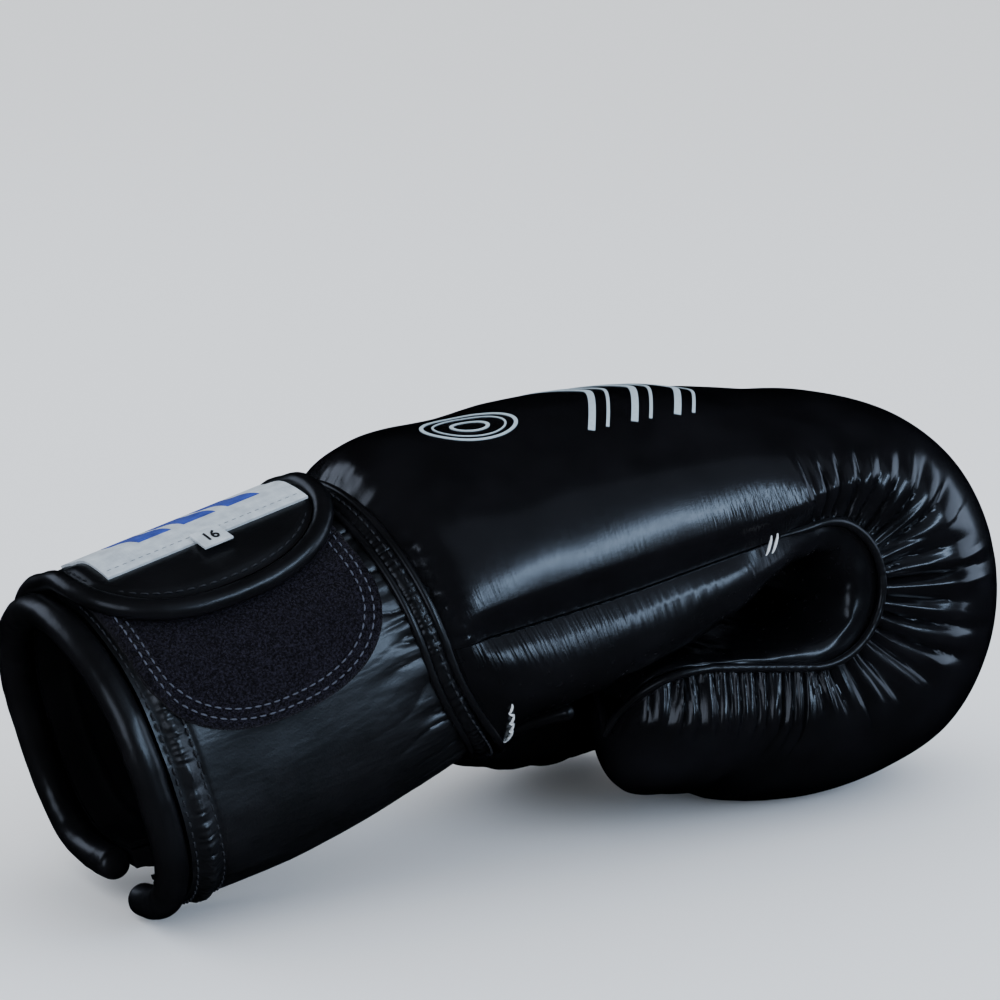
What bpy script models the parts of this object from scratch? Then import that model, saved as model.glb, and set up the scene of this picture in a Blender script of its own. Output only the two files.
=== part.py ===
"""Muay thai glove, right hand, lying palm down with the cuff toward -X and the knuckles toward +X.

The fist is a padded shell carried along a C: back of the hand, curl over the knuckles, and the
finger roll tucked under. Every length is in metres, +Z is up, +Y is the thumb side, and the
origin is on the surface that the glove rests on, below the finger roll.
"""
import bpy
import bmesh
import numpy as np
from math import pi, radians

# Path of the side seam, seen from the little-finger side
BACK_RUN = 0.130            # from the wrist joint to the start of the curl
CURL_RADIUS = 0.0235
ROLL_RUN = 0.057            # from the end of the curl to the tip of the finger roll
CURL_CENTRE_X = -0.0020
CURL_CENTRE_Z = 0.0775
BACK_SLOPE = radians(10.4)
ROLL_SLOPE = radians(7.5)

# Sizes of the fist
PAD_DEPTH = 0.076           # thickest padding, in front of the knuckles
HALF_WIDTH = 0.062
PALM_DEPTH = 0.046          # from the seam down to the heel of the palm
ARCH_DEPTH = 0.036          # hollow under the back padding at the wrist
SIDE_WALL = 0.013           # padding beside the hand
LEATHER = 0.0025            # palm leather with its backing
SHELL_FULLNESS = 2.3        # squareness of the sections, 2 being an ellipse
PALM_FULLNESS = 4.3
SEAM_GAP = 0.0004
PIPING_RADIUS = 0.0016
WRIST_SLANT = 0.11          # how far the wrist end leans back, for each metre outward
HEEL_REACH = 9.5            # how far it reaches forward under the palm, for each square metre

# Gathers round the curl
PLEATS = 34
PLEAT_DEPTH = 0.0030
NOSE_START = 2.3            # place on the path where the finger roll starts to round off

# Thumb
THUMB_RADIUS = 0.026
THUMB_PAD = 0.010
THUMB_END = 4.35            # tips of its skin and of the room inside it, on THUMB_LINE
THUMB_ROOM_END = 3.95

# Cuff
RIM_CENTRE_X = -0.2250
RIM_CENTRE_Z = 0.0538
RIM_HALF_WIDTH = 0.0495
RIM_HALF_HEIGHT = 0.0470
RIM_TILT = radians(14.0)
CUFF_WALL = 0.0055
LINING_WALL = 0.0015
BELLY = 0.0040              # how far the cuff's palm side swells between its ends
SLIT_WIDTH = 0.0035
SLIT_STEP = 0.0080          # how far one edge of the slit stands outside the other
RIM_BINDING_RADIUS = 0.0050
WRIST_BINDING_RADIUS = 0.0036
WRIST_BINDING_STAND = 0.0012  # how far the binding stands proud of the fist's skin
WRIST_FULLNESS = 2.6        # squareness of the heel of the palm
RIM_FULLNESS = 3.0          # squareness of the rim's lower half
JOINT_INSET = 0.0010        # step from the fist's skin down to the cuff's

# Closure
LAYER_GAP = 0.0005
LOOP_THICKNESS = 0.0018
STRAP_THICKNESS = 0.0045
EDGING_RADIUS = 0.0028
LABEL_THICKNESS = 0.0008
TAG_WIDTH = 0.010
TAG_LENGTH = 0.008
TAB_RADIUS = 0.0024
TAB_ENDS = np.array([(0.07, 0.44), (0.26, 0.36)])   # places along and across the palm

STRAP_ROOT = -0.35          # angles round the cuff, from the thumb side over the top
STRAP_SHOULDER = 1.72
STRAP_TIP = 2.27
STRAP_LOW = 0.04            # shares of the way from the rim to the wrist joint
STRAP_HIGH = 0.95
LOOP_TOP = 1.85
LOOP_SHOULDER = 2.45
LOOP_TIP = 3.12
LOOP_LOW = 0.03
LOOP_HIGH = 0.95
EDGING_START = 0.90
LABEL_START = 1.25
LABEL_EDGE = 1.93
LABEL_LOW = 0.12
LABEL_HIGH = 0.92
TAG_PLACE = 0.46
CUFF_REACH = 0.090          # length of the cuff along its near side

# Colours
LEATHER_BLACK = (0.006, 0.006, 0.007)
LINING_BLACK = (0.010, 0.010, 0.011)
FUZZ_BLACK = (0.005, 0.005, 0.006)
LABEL_WHITE = (0.72, 0.76, 0.80)

# How it lies
LEAN = radians(5.0)         # turned a little toward the thumb side
SINK = 0.0016               # how far the padding is pressed flat on the surface
REST_X = 0.0120             # middle of the flattened patch, which becomes the origin
REST_Y = 0.0110

# One row for each section: place on the path (0 wrist, 1 and 2 ends of the curl, 3 tip of the
# roll), then shares of PAD_DEPTH, of HALF_WIDTH (both edges and the crown between them), of
# ARCH_DEPTH and of PALM_DEPTH
SECTIONS = np.array([
    # place   pad   near   far   crown   arch   palm
    (0.00, 0.620, 0.840, 0.840, 0.00, 1.00, 1.000),
    (0.05, 0.690, 0.880, 0.880, 0.00, 0.99, 0.910),
    (0.13, 0.732, 0.915, 0.910, 0.00, 0.97, 0.810),
    (0.30, 0.715, 0.965, 0.960, 0.00, 0.80, 0.730),
    (0.50, 0.695, 1.000, 0.985, 0.00, 0.56, 0.660),
    (0.65, 0.665, 1.000, 0.990, 0.00, 0.40, 0.590),
    (0.80, 0.622, 1.000, 0.990, 0.00, 0.26, 0.450),
    (0.92, 0.568, 1.000, 0.990, 0.00, 0.18, 0.330),
    (1.00, 0.520, 1.000, 0.990, 0.00, 0.15, 0.300),
    (1.06, 0.490, 1.000, 0.985, 0.00, 0.14, 0.300),
    (1.13, 0.492, 1.000, 0.980, 0.00, 0.14, 0.300),
    (1.21, 0.570, 0.995, 0.970, 0.00, 0.14, 0.300),
    (1.31, 0.705, 0.990, 0.950, 0.00, 0.14, 0.300),
    (1.41, 0.835, 0.985, 0.930, 0.00, 0.14, 0.300),
    (1.51, 0.940, 0.980, 0.900, 0.02, 0.14, 0.300),
    (1.62, 1.000, 0.975, 0.870, 0.05, 0.14, 0.290),
    (1.71, 0.988, 0.970, 0.840, 0.09, 0.14, 0.280),
    (1.79, 0.888, 0.965, 0.800, 0.13, 0.15, 0.265),
    (1.91, 0.759, 0.955, 0.760, 0.16, 0.16, 0.240),
    (2.00, 0.707, 0.950, 0.720, 0.17, 0.18, 0.210),
    (2.35, 0.665, 0.940, 0.520, 0.12, 0.24, 0.100),
    (2.70, 0.655, 0.930, 0.260, -0.20, 0.26, 0.065),
    (3.00, 0.650, 0.920, 0.040, -0.44, 0.26, 0.065),
])

# Centre line of the thumb: shares of BACK_RUN behind the curl's centre, of HALF_WIDTH toward the
# thumb side and of CURL_CENTRE_Z above the surface, and share of THUMB_RADIUS
THUMB_LINE = np.array([
    # place  back  side   up    radius
    (0.0, 0.70, 0.48, 0.720, 0.88),
    (1.0, 0.61, 0.60, 0.590, 1.00),
    (2.0, 0.45, 0.76, 0.495, 1.02),
    (3.0, 0.27, 0.90, 0.450, 0.98),
    (4.0, 0.09, 1.04, 0.435, 0.90),
    (4.4, 0.01, 1.09, 0.435, 0.87),
])


def smooth(table, column, at):
    """Cubic curve through one column of a table, with slopes taken from the rows on each side."""
    x, y = table[:, 0], table[:, column]
    slope = np.gradient(y, x)
    at = np.clip(at, x[0], x[-1])
    i = np.clip(np.searchsorted(x, at, side="right") - 1, 0, len(x) - 2)
    h = x[i + 1] - x[i]
    t = (at - x[i]) / h
    return ((1 + 2 * t) * (1 - t) ** 2 * y[i] + t * (1 - t) ** 2 * h * slope[i]
            + t * t * (3 - 2 * t) * y[i + 1] + t * t * (t - 1) * h * slope[i + 1])


def ramp(value, low, high):
    """0 below low, 1 above high, with a smooth step between."""
    t = np.clip((value - low) / (high - low), 0, 1)
    return t * t * (3 - 2 * t)


def power(value, exponent):
    return np.sign(value) * np.abs(value) ** exponent


def seam_path(u):
    """Point, heading and outward direction of the seam line in the XZ plane at each place u."""
    turn = BACK_SLOPE - np.clip(u - 1, 0, 1) * (pi + BACK_SLOPE + ROLL_SLOPE)
    heading = np.stack([np.cos(turn), np.sin(turn)], -1)
    outward = np.stack([-np.sin(turn), np.cos(turn)], -1)
    along = np.minimum(u - 1, 0) * BACK_RUN + np.maximum(u - 2, 0) * ROLL_RUN
    centre = np.array([CURL_CENTRE_X, CURL_CENTRE_Z])
    return centre + CURL_RADIUS * outward + along[..., None] * heading, heading, outward


def place(u, side, out):
    """World position, before the glove is laid down, of a point beside and outside the seam path.

    Near the wrist the sections lean back over the hand and forward under the palm."""
    point, heading, outward = seam_path(u)
    slant = -WRIST_SLANT * out + np.where(out < 0, HEEL_REACH * out * out, 0)
    slant = slant * (1 - ramp(u, 0.0, 0.55))
    flat = point + out[..., None] * outward + slant[..., None] * heading
    return np.stack([flat[..., 0], side, flat[..., 1]], -1)


def lay_down(points):
    """Lean the glove toward the thumb side and press flat what would go below the surface."""
    x, y, z = np.moveaxis(np.asarray(points, float), -1, 0)
    side = y * np.cos(LEAN) + (z - CURL_CENTRE_Z) * np.sin(LEAN)
    height = z * np.cos(LEAN) - y * np.sin(LEAN) - SINK
    return np.stack([x - REST_X, side - REST_Y, np.maximum(height, 0)], -1)


def nose(u):
    """Factors that round off the tip of the finger roll: width, height and rise of its seam."""
    t = np.clip((u - NOSE_START) / (3 - NOSE_START), 0, 1)
    return (1 - t ** 3) ** (1 / 3), (1 - t ** 2.4) ** (1 / 2.4), 1 - (1 - t ** 4) ** (1 / 4)


def section(u):
    """Sizes of the section at u: lip and crown heights, near edge, crown and far edge across, and
    the depths of the arch and of the palm."""
    wide, tall, drop = nose(u)
    pad, near, far, crown_at = (smooth(SECTIONS, i, u) for i in (1, 2, 3, 4))
    lip = PAD_DEPTH * pad * 0.5 * drop
    crown = PAD_DEPTH * pad * 0.5 * (1 + tall)
    middle = HALF_WIDTH * crown_at
    near_edge = middle - (HALF_WIDTH * near + middle) * wide
    far_edge = middle + (HALF_WIDTH * far - middle) * wide
    return (lip, crown, near_edge, middle, far_edge,
            ARCH_DEPTH * smooth(SECTIONS, 5, u), PALM_DEPTH * smooth(SECTIONS, 6, u))


def across(u, c, inset=0.0):
    """Sideways place of a point whose share from the crown to an edge is c, near edge at c = 1."""
    _, _, near, middle, far, _, _ = section(u)
    return middle + np.where(c > 0, near + inset - middle, middle - far + inset) * c


def shell_skin(u, v):
    """Outer skin of the shell: v runs from the near seam (0) over the crown to the far seam (1).

    Each section is a superellipse, and the skin dips in along the gathers beside the curl."""
    lip, crown = section(u)[:2]
    angle = pi * v
    bulge = 2 / (2 + (SHELL_FULLNESS - 2) * ramp(u, 0, 0.4) * (1 - ramp(u, 1.5, 1.9)))
    c, s = power(np.cos(angle), bulge), np.abs(np.sin(angle)) ** bulge
    fold = np.abs(np.sin(pi * PLEATS * (u - 1) / 2)) ** 0.7
    reach = ramp(u, 0.98, 1.12) * ramp(3 - u, 0.0, 0.12)
    edge = np.minimum(v, 1 - v)
    band = ramp(edge, 0.0, 0.05) * (1 - ramp(edge, 0.10, 0.42))
    dip = PLEAT_DEPTH * reach * band * (1 - fold)
    out = lip + (crown - lip) * s - dip * np.sin(angle)
    return place(u, across(u, c) + dip * np.cos(angle), out)


def palm_skin(u, v, inset=0.0):
    """Skin of the palm and finger panel: v runs from the near seam to the far one, below it."""
    lip, palm = section(u)[0], section(u)[6]
    angle = pi * v
    bulge = 2 / (WRIST_FULLNESS + (PALM_FULLNESS - WRIST_FULLNESS) * ramp(u, 0, 0.3))
    c, s = power(np.cos(angle), bulge), np.abs(np.sin(angle)) ** bulge
    out = lip - SEAM_GAP - np.maximum(palm - SEAM_GAP - inset, SEAM_GAP) * s
    return place(u, across(u, c, inset + 2 * SEAM_GAP), out)


def new_object(name, verts, faces, colour, roughness, smooth_angle=40):
    """One closed mesh object with its own material."""
    mesh = bpy.data.meshes.new(name)
    mesh.from_pydata([tuple(p) for p in np.asarray(verts)], [], [list(map(int, f)) for f in faces])
    work = bmesh.new()
    work.from_mesh(mesh)
    bmesh.ops.remove_doubles(work, verts=work.verts, dist=1e-6)
    bmesh.ops.triangulate(work, faces=[f for f in work.faces if len(f.verts) > 4])
    bmesh.ops.recalc_face_normals(work, faces=work.faces)
    work.to_mesh(mesh)
    work.free()
    mesh.shade_smooth()
    mesh.set_sharp_from_angle(angle=radians(smooth_angle))
    material = bpy.data.materials.new(name)
    material.use_nodes = True
    shader = material.node_tree.nodes["Principled BSDF"]
    shader.inputs["Base Color"].default_value = (*colour, 1)
    shader.inputs["Roughness"].default_value = roughness
    mesh.materials.append(material)
    thing = bpy.data.objects.new(name, mesh)
    bpy.context.scene.collection.objects.link(thing)
    return thing


def skin_faces(m, k, closed=False):
    """Two triangles for each cell of m rings of k points, all split along the same diagonal."""
    faces = []
    for i in range(m if closed else m - 1):
        for j in range(k):
            a, b = i * k + j, i * k + (j + 1) % k
            c, d = ((i + 1) % m) * k + (j + 1) % k, ((i + 1) % m) * k + j
            faces += [(a, b, c), (a, c, d)]
    return faces


def loft(rings, closed=False):
    """Vertices and faces of a skin through rings of points, with flat ends unless it is closed."""
    rings = np.asarray(rings)
    m, k = rings.shape[:2]
    faces = skin_faces(m, k, closed)
    if not closed:
        faces.append(tuple(range(k - 1, -1, -1)))
        faces.append(tuple(range((m - 1) * k, m * k)))
    return rings.reshape(-1, 3), faces


def slab(top, bottom):
    """A closed sheet between two grids of points of the same shape."""
    m, k = top.shape[:2]
    rings = np.concatenate([top, bottom[:, ::-1]], 1)
    verts = rings.reshape(-1, 3)
    n = 2 * k
    faces = skin_faces(m, n)
    for i in (0, m - 1):
        for j in range(k - 1):
            faces.append((i * n + j, i * n + j + 1, i * n + n - 2 - j, i * n + n - 1 - j))
    return verts, faces


def tube(path, radius, sides, closed=False):
    """Rings of a round tube along a path of points."""
    path = np.asarray(path, float)
    if closed:
        tangent = np.roll(path, -1, 0) - np.roll(path, 1, 0)
    else:
        tangent = np.gradient(path, axis=0)
    tangent /= np.linalg.norm(tangent, axis=1, keepdims=True)
    normal = np.empty_like(path)
    start = np.array([0.0, 0.0, 1.0]) if abs(tangent[0, 2]) < 0.9 else np.array([1.0, 0.0, 0.0])
    for i, t in enumerate(tangent):
        start = start - t * (start @ t)
        start = start / np.linalg.norm(start)
        normal[i] = start
    side = np.cross(tangent, normal)
    if closed:
        first, last = normal[0], normal[-1] - tangent[0] * (normal[-1] @ tangent[0])
        twist = np.arctan2(np.cross(last, first) @ tangent[0], last @ first)
        turn = (np.arange(len(path)) / len(path) * twist)[:, None]
        normal, side = (normal * np.cos(turn) + side * np.sin(turn),
                        side * np.cos(turn) - normal * np.sin(turn))
    angle = np.arange(sides) / sides * 2 * pi
    ring = (normal[:, None] * np.cos(angle)[None, :, None]
            + side[:, None] * np.sin(angle)[None, :, None])
    radius = np.broadcast_to(np.asarray(radius, float), (len(path),))
    return path[:, None] + ring * radius[:, None, None]


def stations():
    """Places of the shell's sections: two for each gather, and closer at the tip of the roll."""
    curl = 1 + np.arange(2 * PLEATS + 1) / PLEATS
    return np.concatenate([np.linspace(0, 1, 8)[:-1], curl[curl < 2.92], [2.93, 2.965, 2.985, 2.996]])


def shell():
    """Padded back, knuckles and finger roll: one C of foam under leather, hollow over the hand."""
    u = stations()
    v = np.array([0, 0.035, 0.1, 0.18, 0.27, 0.36, 0.5, 0.64, 0.73, 0.82, 0.9, 0.965, 1])
    outer = shell_skin(*np.meshgrid(u, v, indexing="ij"))
    lip, crown, near, middle, far, arch, _ = section(u)
    share = np.array([-0.97, -0.55, 0.0, 0.55, 0.97])
    wall = np.minimum(SIDE_WALL, 0.2 * (far - near))
    side = np.where(share > 0, (middle - near - wall)[:, None], (far - middle - wall)[:, None])
    side = middle[:, None] - side * share
    height = np.minimum(arch, 0.6 * (crown - lip))
    height = lip[:, None] + height[:, None] * (1 - np.abs(share) ** 4)
    inner = place(np.repeat(u[:, None], len(share), 1), side, height)
    rings = lay_down(np.concatenate([outer, inner], 1))
    return new_object("shell", *loft(rings), LEATHER_BLACK, 0.32)


def palm_rings(inset, lead=()):
    """Rings of the palm's skin, with any lead stations before the wrist."""
    tip = stations()
    tip = tip[(tip > 2.6) & (tip < 2.98)]
    u = np.concatenate([lead, np.linspace(0, 1, 12)[:-1], np.linspace(1, 2, 12)[:-1],
                        np.linspace(2, tip[0], 5)[:-1], tip])
    return lay_down(palm_skin(*np.meshgrid(u, np.linspace(0, 1, 11), indexing="ij"), inset=inset))


def palm_panel(thumb_room):
    """Leather of the palm and of the inner side of the curled fingers, with the thumb's hole."""
    verts, faces = slab(palm_rings(0.0), palm_rings(LEATHER))
    panel = new_object("palm_panel", verts, faces, LEATHER_BLACK, 0.38)
    cut(panel, thumb_room)
    return panel


def seam_piping():
    """Piping in the seam between shell and panels, from the wrist round the roll and back."""
    tip = 3 - 0.3 * (1 - np.sin(np.linspace(0, pi / 2, 12)))
    u = np.concatenate([np.linspace(0.05, 1, 7)[:-1], np.linspace(1, 2, 18)[:-1],
                        np.linspace(2, 2.7, 5)[:-1], tip])
    lip, _, near, _, far, _, _ = section(u)
    line = np.concatenate([place(u, near, lip), place(u, far, lip)[::-1][1:]])
    outward = seam_path(np.concatenate([u, u[::-1][1:]]))[2]
    outward = np.stack([outward[:, 0], np.zeros(len(outward)), outward[:, 1]], -1)
    away = np.cross(np.gradient(line, axis=0), outward)
    away /= np.linalg.norm(away, axis=1, keepdims=True)
    path = line + (PIPING_RADIUS + SEAM_GAP) * away
    return new_object("seam_piping", *loft(tube(lay_down(path), PIPING_RADIUS, 5)), LEATHER_BLACK, 0.3)


def thumb_rings(shrink, end, count, sides):
    """Rings round the thumb's centre line with a round tip, shrink inside its outer skin."""
    t = end * np.sin(np.linspace(0, pi / 2, count)) ** 0.9
    back, side, up, share = (smooth(THUMB_LINE, i, t) for i in (1, 2, 3, 4))
    path = np.stack([CURL_CENTRE_X - back * BACK_RUN, side * HALF_WIDTH, up * CURL_CENTRE_Z], -1)
    dome = np.clip((t - (end - 0.75)) / 0.75, 0, 1)
    radius = (THUMB_RADIUS * share - shrink) * np.sqrt(1 - 0.985 * dome ** 2)
    return lay_down(tube(path, radius, sides))


def thumb(thumb_room):
    """Padded thumb, a sock that opens into the hand's hollow, seated on the palm leather."""
    skin = thumb_rings(0.0, THUMB_END, 14, 16)
    body = new_object("thumb", *loft(skin), LEATHER_BLACK, 0.34)
    cut(body, cutter("palm_room", *loft(palm_rings(-SEAM_GAP, lead=[-0.12]))))
    cut(body, thumb_room)
    return body


def cutter(name, verts, faces):
    """A closed shape that only cuts others."""
    thing = new_object(name, verts, faces, LEATHER_BLACK, 0.5)
    thing.hide_render = True
    thing.display_type = "WIRE"
    return thing


def cut(thing, tool):
    """Subtract a cutter from an object."""
    modifier = thing.modifiers.new("cut", "BOOLEAN")
    modifier.operation = "DIFFERENCE"
    modifier.solver = "EXACT"
    modifier.object = tool


def wrist_line(phi, stand, back):
    """Line round the fist's wrist end, standing out from its skin and set back toward the cuff."""
    c, s = np.cos(phi), np.sin(phi)
    _, crown, _, _, far, _, palm = section(np.zeros_like(phi))
    shape = np.where(s > 0, 1.0, 2 / WRIST_FULLNESS)
    out = (np.where(s > 0, crown, palm) + stand) * power(s, shape)
    line = place(np.zeros_like(phi), (far + stand) * power(c, shape), out)
    slope = -WRIST_SLANT + 2 * HEEL_REACH * np.minimum(out, 0)
    line[..., 0] -= back * np.sqrt(1 + slope ** 2) * np.cos(BACK_SLOPE)
    line[..., 2] -= back * np.sqrt(1 + slope ** 2) * np.sin(BACK_SLOPE)
    return line


def cuff_skin(phi, k, h):
    """Point of the cuff: phi goes round from the palm side's slit over the thumb side (0), the top
    (a quarter turn) and the near side (half a turn), k from rim (0) to wrist joint (1), h outward."""
    phi, k, h = np.broadcast_arrays(phi, k, h)
    c, s = np.cos(phi), np.sin(phi)
    wrist = wrist_line(phi, -JOINT_INSET, 2 * (WRIST_BINDING_RADIUS + SEAM_GAP))
    up = np.array([-np.sin(RIM_TILT), 0, np.cos(RIM_TILT)])
    shape = np.where(s > 0, 1.0, 2 / RIM_FULLNESS)
    rim = np.array([RIM_CENTRE_X, 0, RIM_CENTRE_Z]) + RIM_HALF_HEIGHT * power(s, shape)[..., None] * up
    rim[..., 1] = RIM_HALF_WIDTH * power(c, shape)
    near_slit = ramp(phi, 1.5 * pi - 0.9, 1.5 * pi)
    far_slit = ramp(-phi, 0.5 * pi - 0.9, 0.5 * pi)
    step = SLIT_STEP * (0.45 * near_slit - 0.55 * far_slit) * (1 - ramp(k, 0.0, 0.9))
    h = h + step + BELLY * 4 * k * (1 - k) * np.maximum(-s, 0)
    out = np.stack([np.zeros_like(c), c / RIM_HALF_WIDTH, np.zeros_like(c)], -1)
    out = out + (s / RIM_HALF_HEIGHT)[..., None] * up
    out /= np.linalg.norm(out, axis=-1, keepdims=True)
    return rim + k[..., None] * (wrist - rim) + h[..., None] * out


def cuff_sheet(name, phi, k, low, high, colour, roughness):
    """A layer of the cuff between two heights over its skin, on grids of phi and k."""
    verts, faces = slab(lay_down(cuff_skin(phi, k, high)), lay_down(cuff_skin(phi, k, low)))
    return new_object(name, verts, faces, colour, roughness)


def cuff():
    """Padded cuff with a slit on the palm side, its lining, and the rolled binding of its rim."""
    slit = 0.5 * SLIT_WIDTH / RIM_HALF_HEIGHT
    phi, k = np.meshgrid(np.linspace(slit - pi / 2, 1.5 * pi - slit, 41), np.linspace(0, 1, 5),
                         indexing="ij")
    cuff_sheet("cuff", phi, k, -CUFF_WALL, 0.0, LEATHER_BLACK, 0.36)
    inside = -CUFF_WALL - 2 * SEAM_GAP
    cuff_sheet("cuff_lining", phi[::2], k[::2], inside - LINING_WALL, inside, LINING_BLACK, 0.6)
    edge = cuff_skin(phi[:, 0], 0.0, -0.5 * CUFF_WALL)
    ahead = (RIM_BINDING_RADIUS + SEAM_GAP) * np.array([np.cos(RIM_TILT), 0, np.sin(RIM_TILT)])
    new_object("rim_binding", *loft(tube(lay_down(edge - ahead), RIM_BINDING_RADIUS, 8)),
               LEATHER_BLACK, 0.34)


def wrist_binding():
    """Stitched binding that covers the joint between cuff and fist."""
    ring = wrist_line(np.arange(36) / 36 * 2 * pi, WRIST_BINDING_STAND - WRIST_BINDING_RADIUS,
                      WRIST_BINDING_RADIUS + SEAM_GAP)
    new_object("wrist_binding", *loft(tube(lay_down(ring), WRIST_BINDING_RADIUS, 7, closed=True),
                                      closed=True), LEATHER_BLACK, 0.36)


def d_shape(start, shoulder, tip, low, high, across_count, along_count):
    """Grids of phi and k over a tongue with a round end: phi from start to tip, k from low to high."""
    w = 0.5 - 0.5 * np.cos(np.linspace(0, pi, across_count))
    end = shoulder + (tip - shoulder) * (1 - np.abs(2 * w - 1) ** 2.3) ** (1 / 2.3)
    t = np.linspace(0, 1, along_count)[:, None]
    return start + t * (end - start), np.broadcast_to(low + (high - low) * w, (along_count, len(w)))


def strap_height(phi):
    """Underside of the strap: on the cuff, and lifted where it lies over the loop patch."""
    return LAYER_GAP + (LOOP_THICKNESS + LAYER_GAP) * ramp(phi, LOOP_TOP - 0.45, LOOP_TOP - 0.14)


def closure():
    """Hook-and-loop closure: loop patch, strap tongue, its rolled edging, white label, size tag."""
    phi, k = d_shape(LOOP_TOP, LOOP_SHOULDER, LOOP_TIP, LOOP_LOW, LOOP_HIGH, 13, 12)
    cuff_sheet("loop_patch", phi, k, LAYER_GAP, LAYER_GAP + LOOP_THICKNESS, FUZZ_BLACK, 0.95)
    phi, k = d_shape(STRAP_ROOT, STRAP_SHOULDER, STRAP_TIP, STRAP_LOW, STRAP_HIGH, 11, 22)
    under = strap_height(phi)
    cuff_sheet("strap", phi, k, under, under + STRAP_THICKNESS, LEATHER_BLACK, 0.4)

    ease = (EDGING_RADIUS + SEAM_GAP) / CUFF_REACH
    turn = (EDGING_RADIUS + SEAM_GAP) / RIM_HALF_HEIGHT
    phi, k = d_shape(STRAP_ROOT, STRAP_SHOULDER, STRAP_TIP + turn, STRAP_LOW - ease,
                     STRAP_HIGH + ease, 25, 2)
    side = np.linspace(EDGING_START, STRAP_SHOULDER, 8)[:-1]
    phi = np.concatenate([side, phi[1], side[::-1]])
    k = np.concatenate([np.full(7, STRAP_LOW - ease), k[1], np.full(7, STRAP_HIGH + ease)])
    path = lay_down(cuff_skin(phi, k, strap_height(phi) + EDGING_RADIUS))
    new_object("strap_edging", *loft(tube(path, EDGING_RADIUS, 6)), LEATHER_BLACK, 0.32)

    top = STRAP_THICKNESS + LAYER_GAP
    phi, k = np.meshgrid(np.linspace(LABEL_START, LABEL_EDGE, 7),
                         np.linspace(LABEL_LOW, LABEL_HIGH, 4), indexing="ij")
    over = strap_height(phi) + top
    cuff_sheet("strap_label", phi, k, over, over + LABEL_THICKNESS, LABEL_WHITE, 0.7)
    start = LABEL_EDGE - 0.3 * TAG_LENGTH / RIM_HALF_HEIGHT
    phi, k = np.meshgrid(np.linspace(start, start + TAG_LENGTH / RIM_HALF_HEIGHT, 3),
                         TAG_PLACE + np.linspace(0, TAG_WIDTH / CUFF_REACH, 3), indexing="ij")
    over = strap_height(phi) + top + LABEL_THICKNESS + LAYER_GAP
    cuff_sheet("size_tag", phi, k, over, over + LABEL_THICKNESS, LABEL_WHITE, 0.7)


def palm_tab():
    """Small rolled end of leather at the heel of the palm."""
    u, v = np.linspace(*TAB_ENDS, 6).T
    path = palm_skin(u, v, inset=-(TAB_RADIUS + SEAM_GAP))
    new_object("palm_tab", *loft(tube(lay_down(path), TAB_RADIUS, 7)), LEATHER_BLACK, 0.4)


def clear_scene():
    for thing in list(bpy.data.objects):
        bpy.data.objects.remove(thing, do_unlink=True)


clear_scene()
room = cutter("thumb_room", *loft(thumb_rings(THUMB_PAD, THUMB_ROOM_END, 12, 12)))
shell()
palm_panel(room)
thumb(room)
seam_piping()
palm_tab()
wrist_binding()
cuff()
closure()
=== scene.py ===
"""Muay thai glove, right hand, lying palm down: padded fist, thumb, cuff and strap in black leather."""
import bpy
import bmesh
import numpy as np
from math import cos, pi, radians, sin
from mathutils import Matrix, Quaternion, Vector


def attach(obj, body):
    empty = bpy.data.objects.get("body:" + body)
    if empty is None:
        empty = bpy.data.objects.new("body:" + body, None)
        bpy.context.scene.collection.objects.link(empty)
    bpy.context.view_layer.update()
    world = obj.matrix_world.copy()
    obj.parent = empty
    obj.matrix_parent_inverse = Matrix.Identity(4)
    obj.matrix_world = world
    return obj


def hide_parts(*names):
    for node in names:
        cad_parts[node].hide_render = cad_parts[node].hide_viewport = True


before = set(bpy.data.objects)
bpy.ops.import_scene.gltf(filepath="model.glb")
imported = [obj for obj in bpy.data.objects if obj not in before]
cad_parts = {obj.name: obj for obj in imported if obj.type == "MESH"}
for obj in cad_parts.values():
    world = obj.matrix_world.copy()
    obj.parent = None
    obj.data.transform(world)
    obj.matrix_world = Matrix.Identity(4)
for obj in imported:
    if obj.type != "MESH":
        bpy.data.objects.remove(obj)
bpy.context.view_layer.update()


# Padded shell: the back of the hand, the knuckles and the finger roll are one piece of smooth
# cowhide drawn over layered foam. It is cut longer than its lining, so it gathers in pleats where
# it is sewn into the seam round the curl, and puckers where it enters the wrist binding.
BACK_RUN = 0.130
CURL_RADIUS = 0.0235
ROLL_RUN = 0.057
CURL_CENTRE_X = -0.0020
CURL_CENTRE_Z = 0.0775
BACK_SLOPE = radians(10.4)
ROLL_SLOPE = radians(7.5)
PAD_DEPTH = 0.076
HALF_WIDTH = 0.062
PALM_DEPTH = 0.046
ARCH_DEPTH = 0.036
SIDE_WALL = 0.013
SHELL_FULLNESS = 2.3
WRIST_SLANT = 0.11
HEEL_REACH = 9.5
NOSE_START = 2.3
LEAN = radians(5.0)
SINK = 0.0016
REST_X = 0.0120
REST_Y = 0.0110

CURL_PLEATS = 18            # gathers round the curl, and along the finger roll
ROLL_PLEATS = 12
PLEAT_DEPTH = 0.0042
PUCKER_PITCH = 0.0042       # small puckers along the side seam
PUCKER_DEPTH = 0.0004
SEAM_TUCK = 0.0042          # how far the seam is drawn in between the paddings, at the side
CURL_TUCK = 0.0075          # and round the curl
SWELL = 0.0006              # slow unevenness of the foam
SHELL_GIRTH = 0.20          # leather from seam to seam, over the crown

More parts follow.
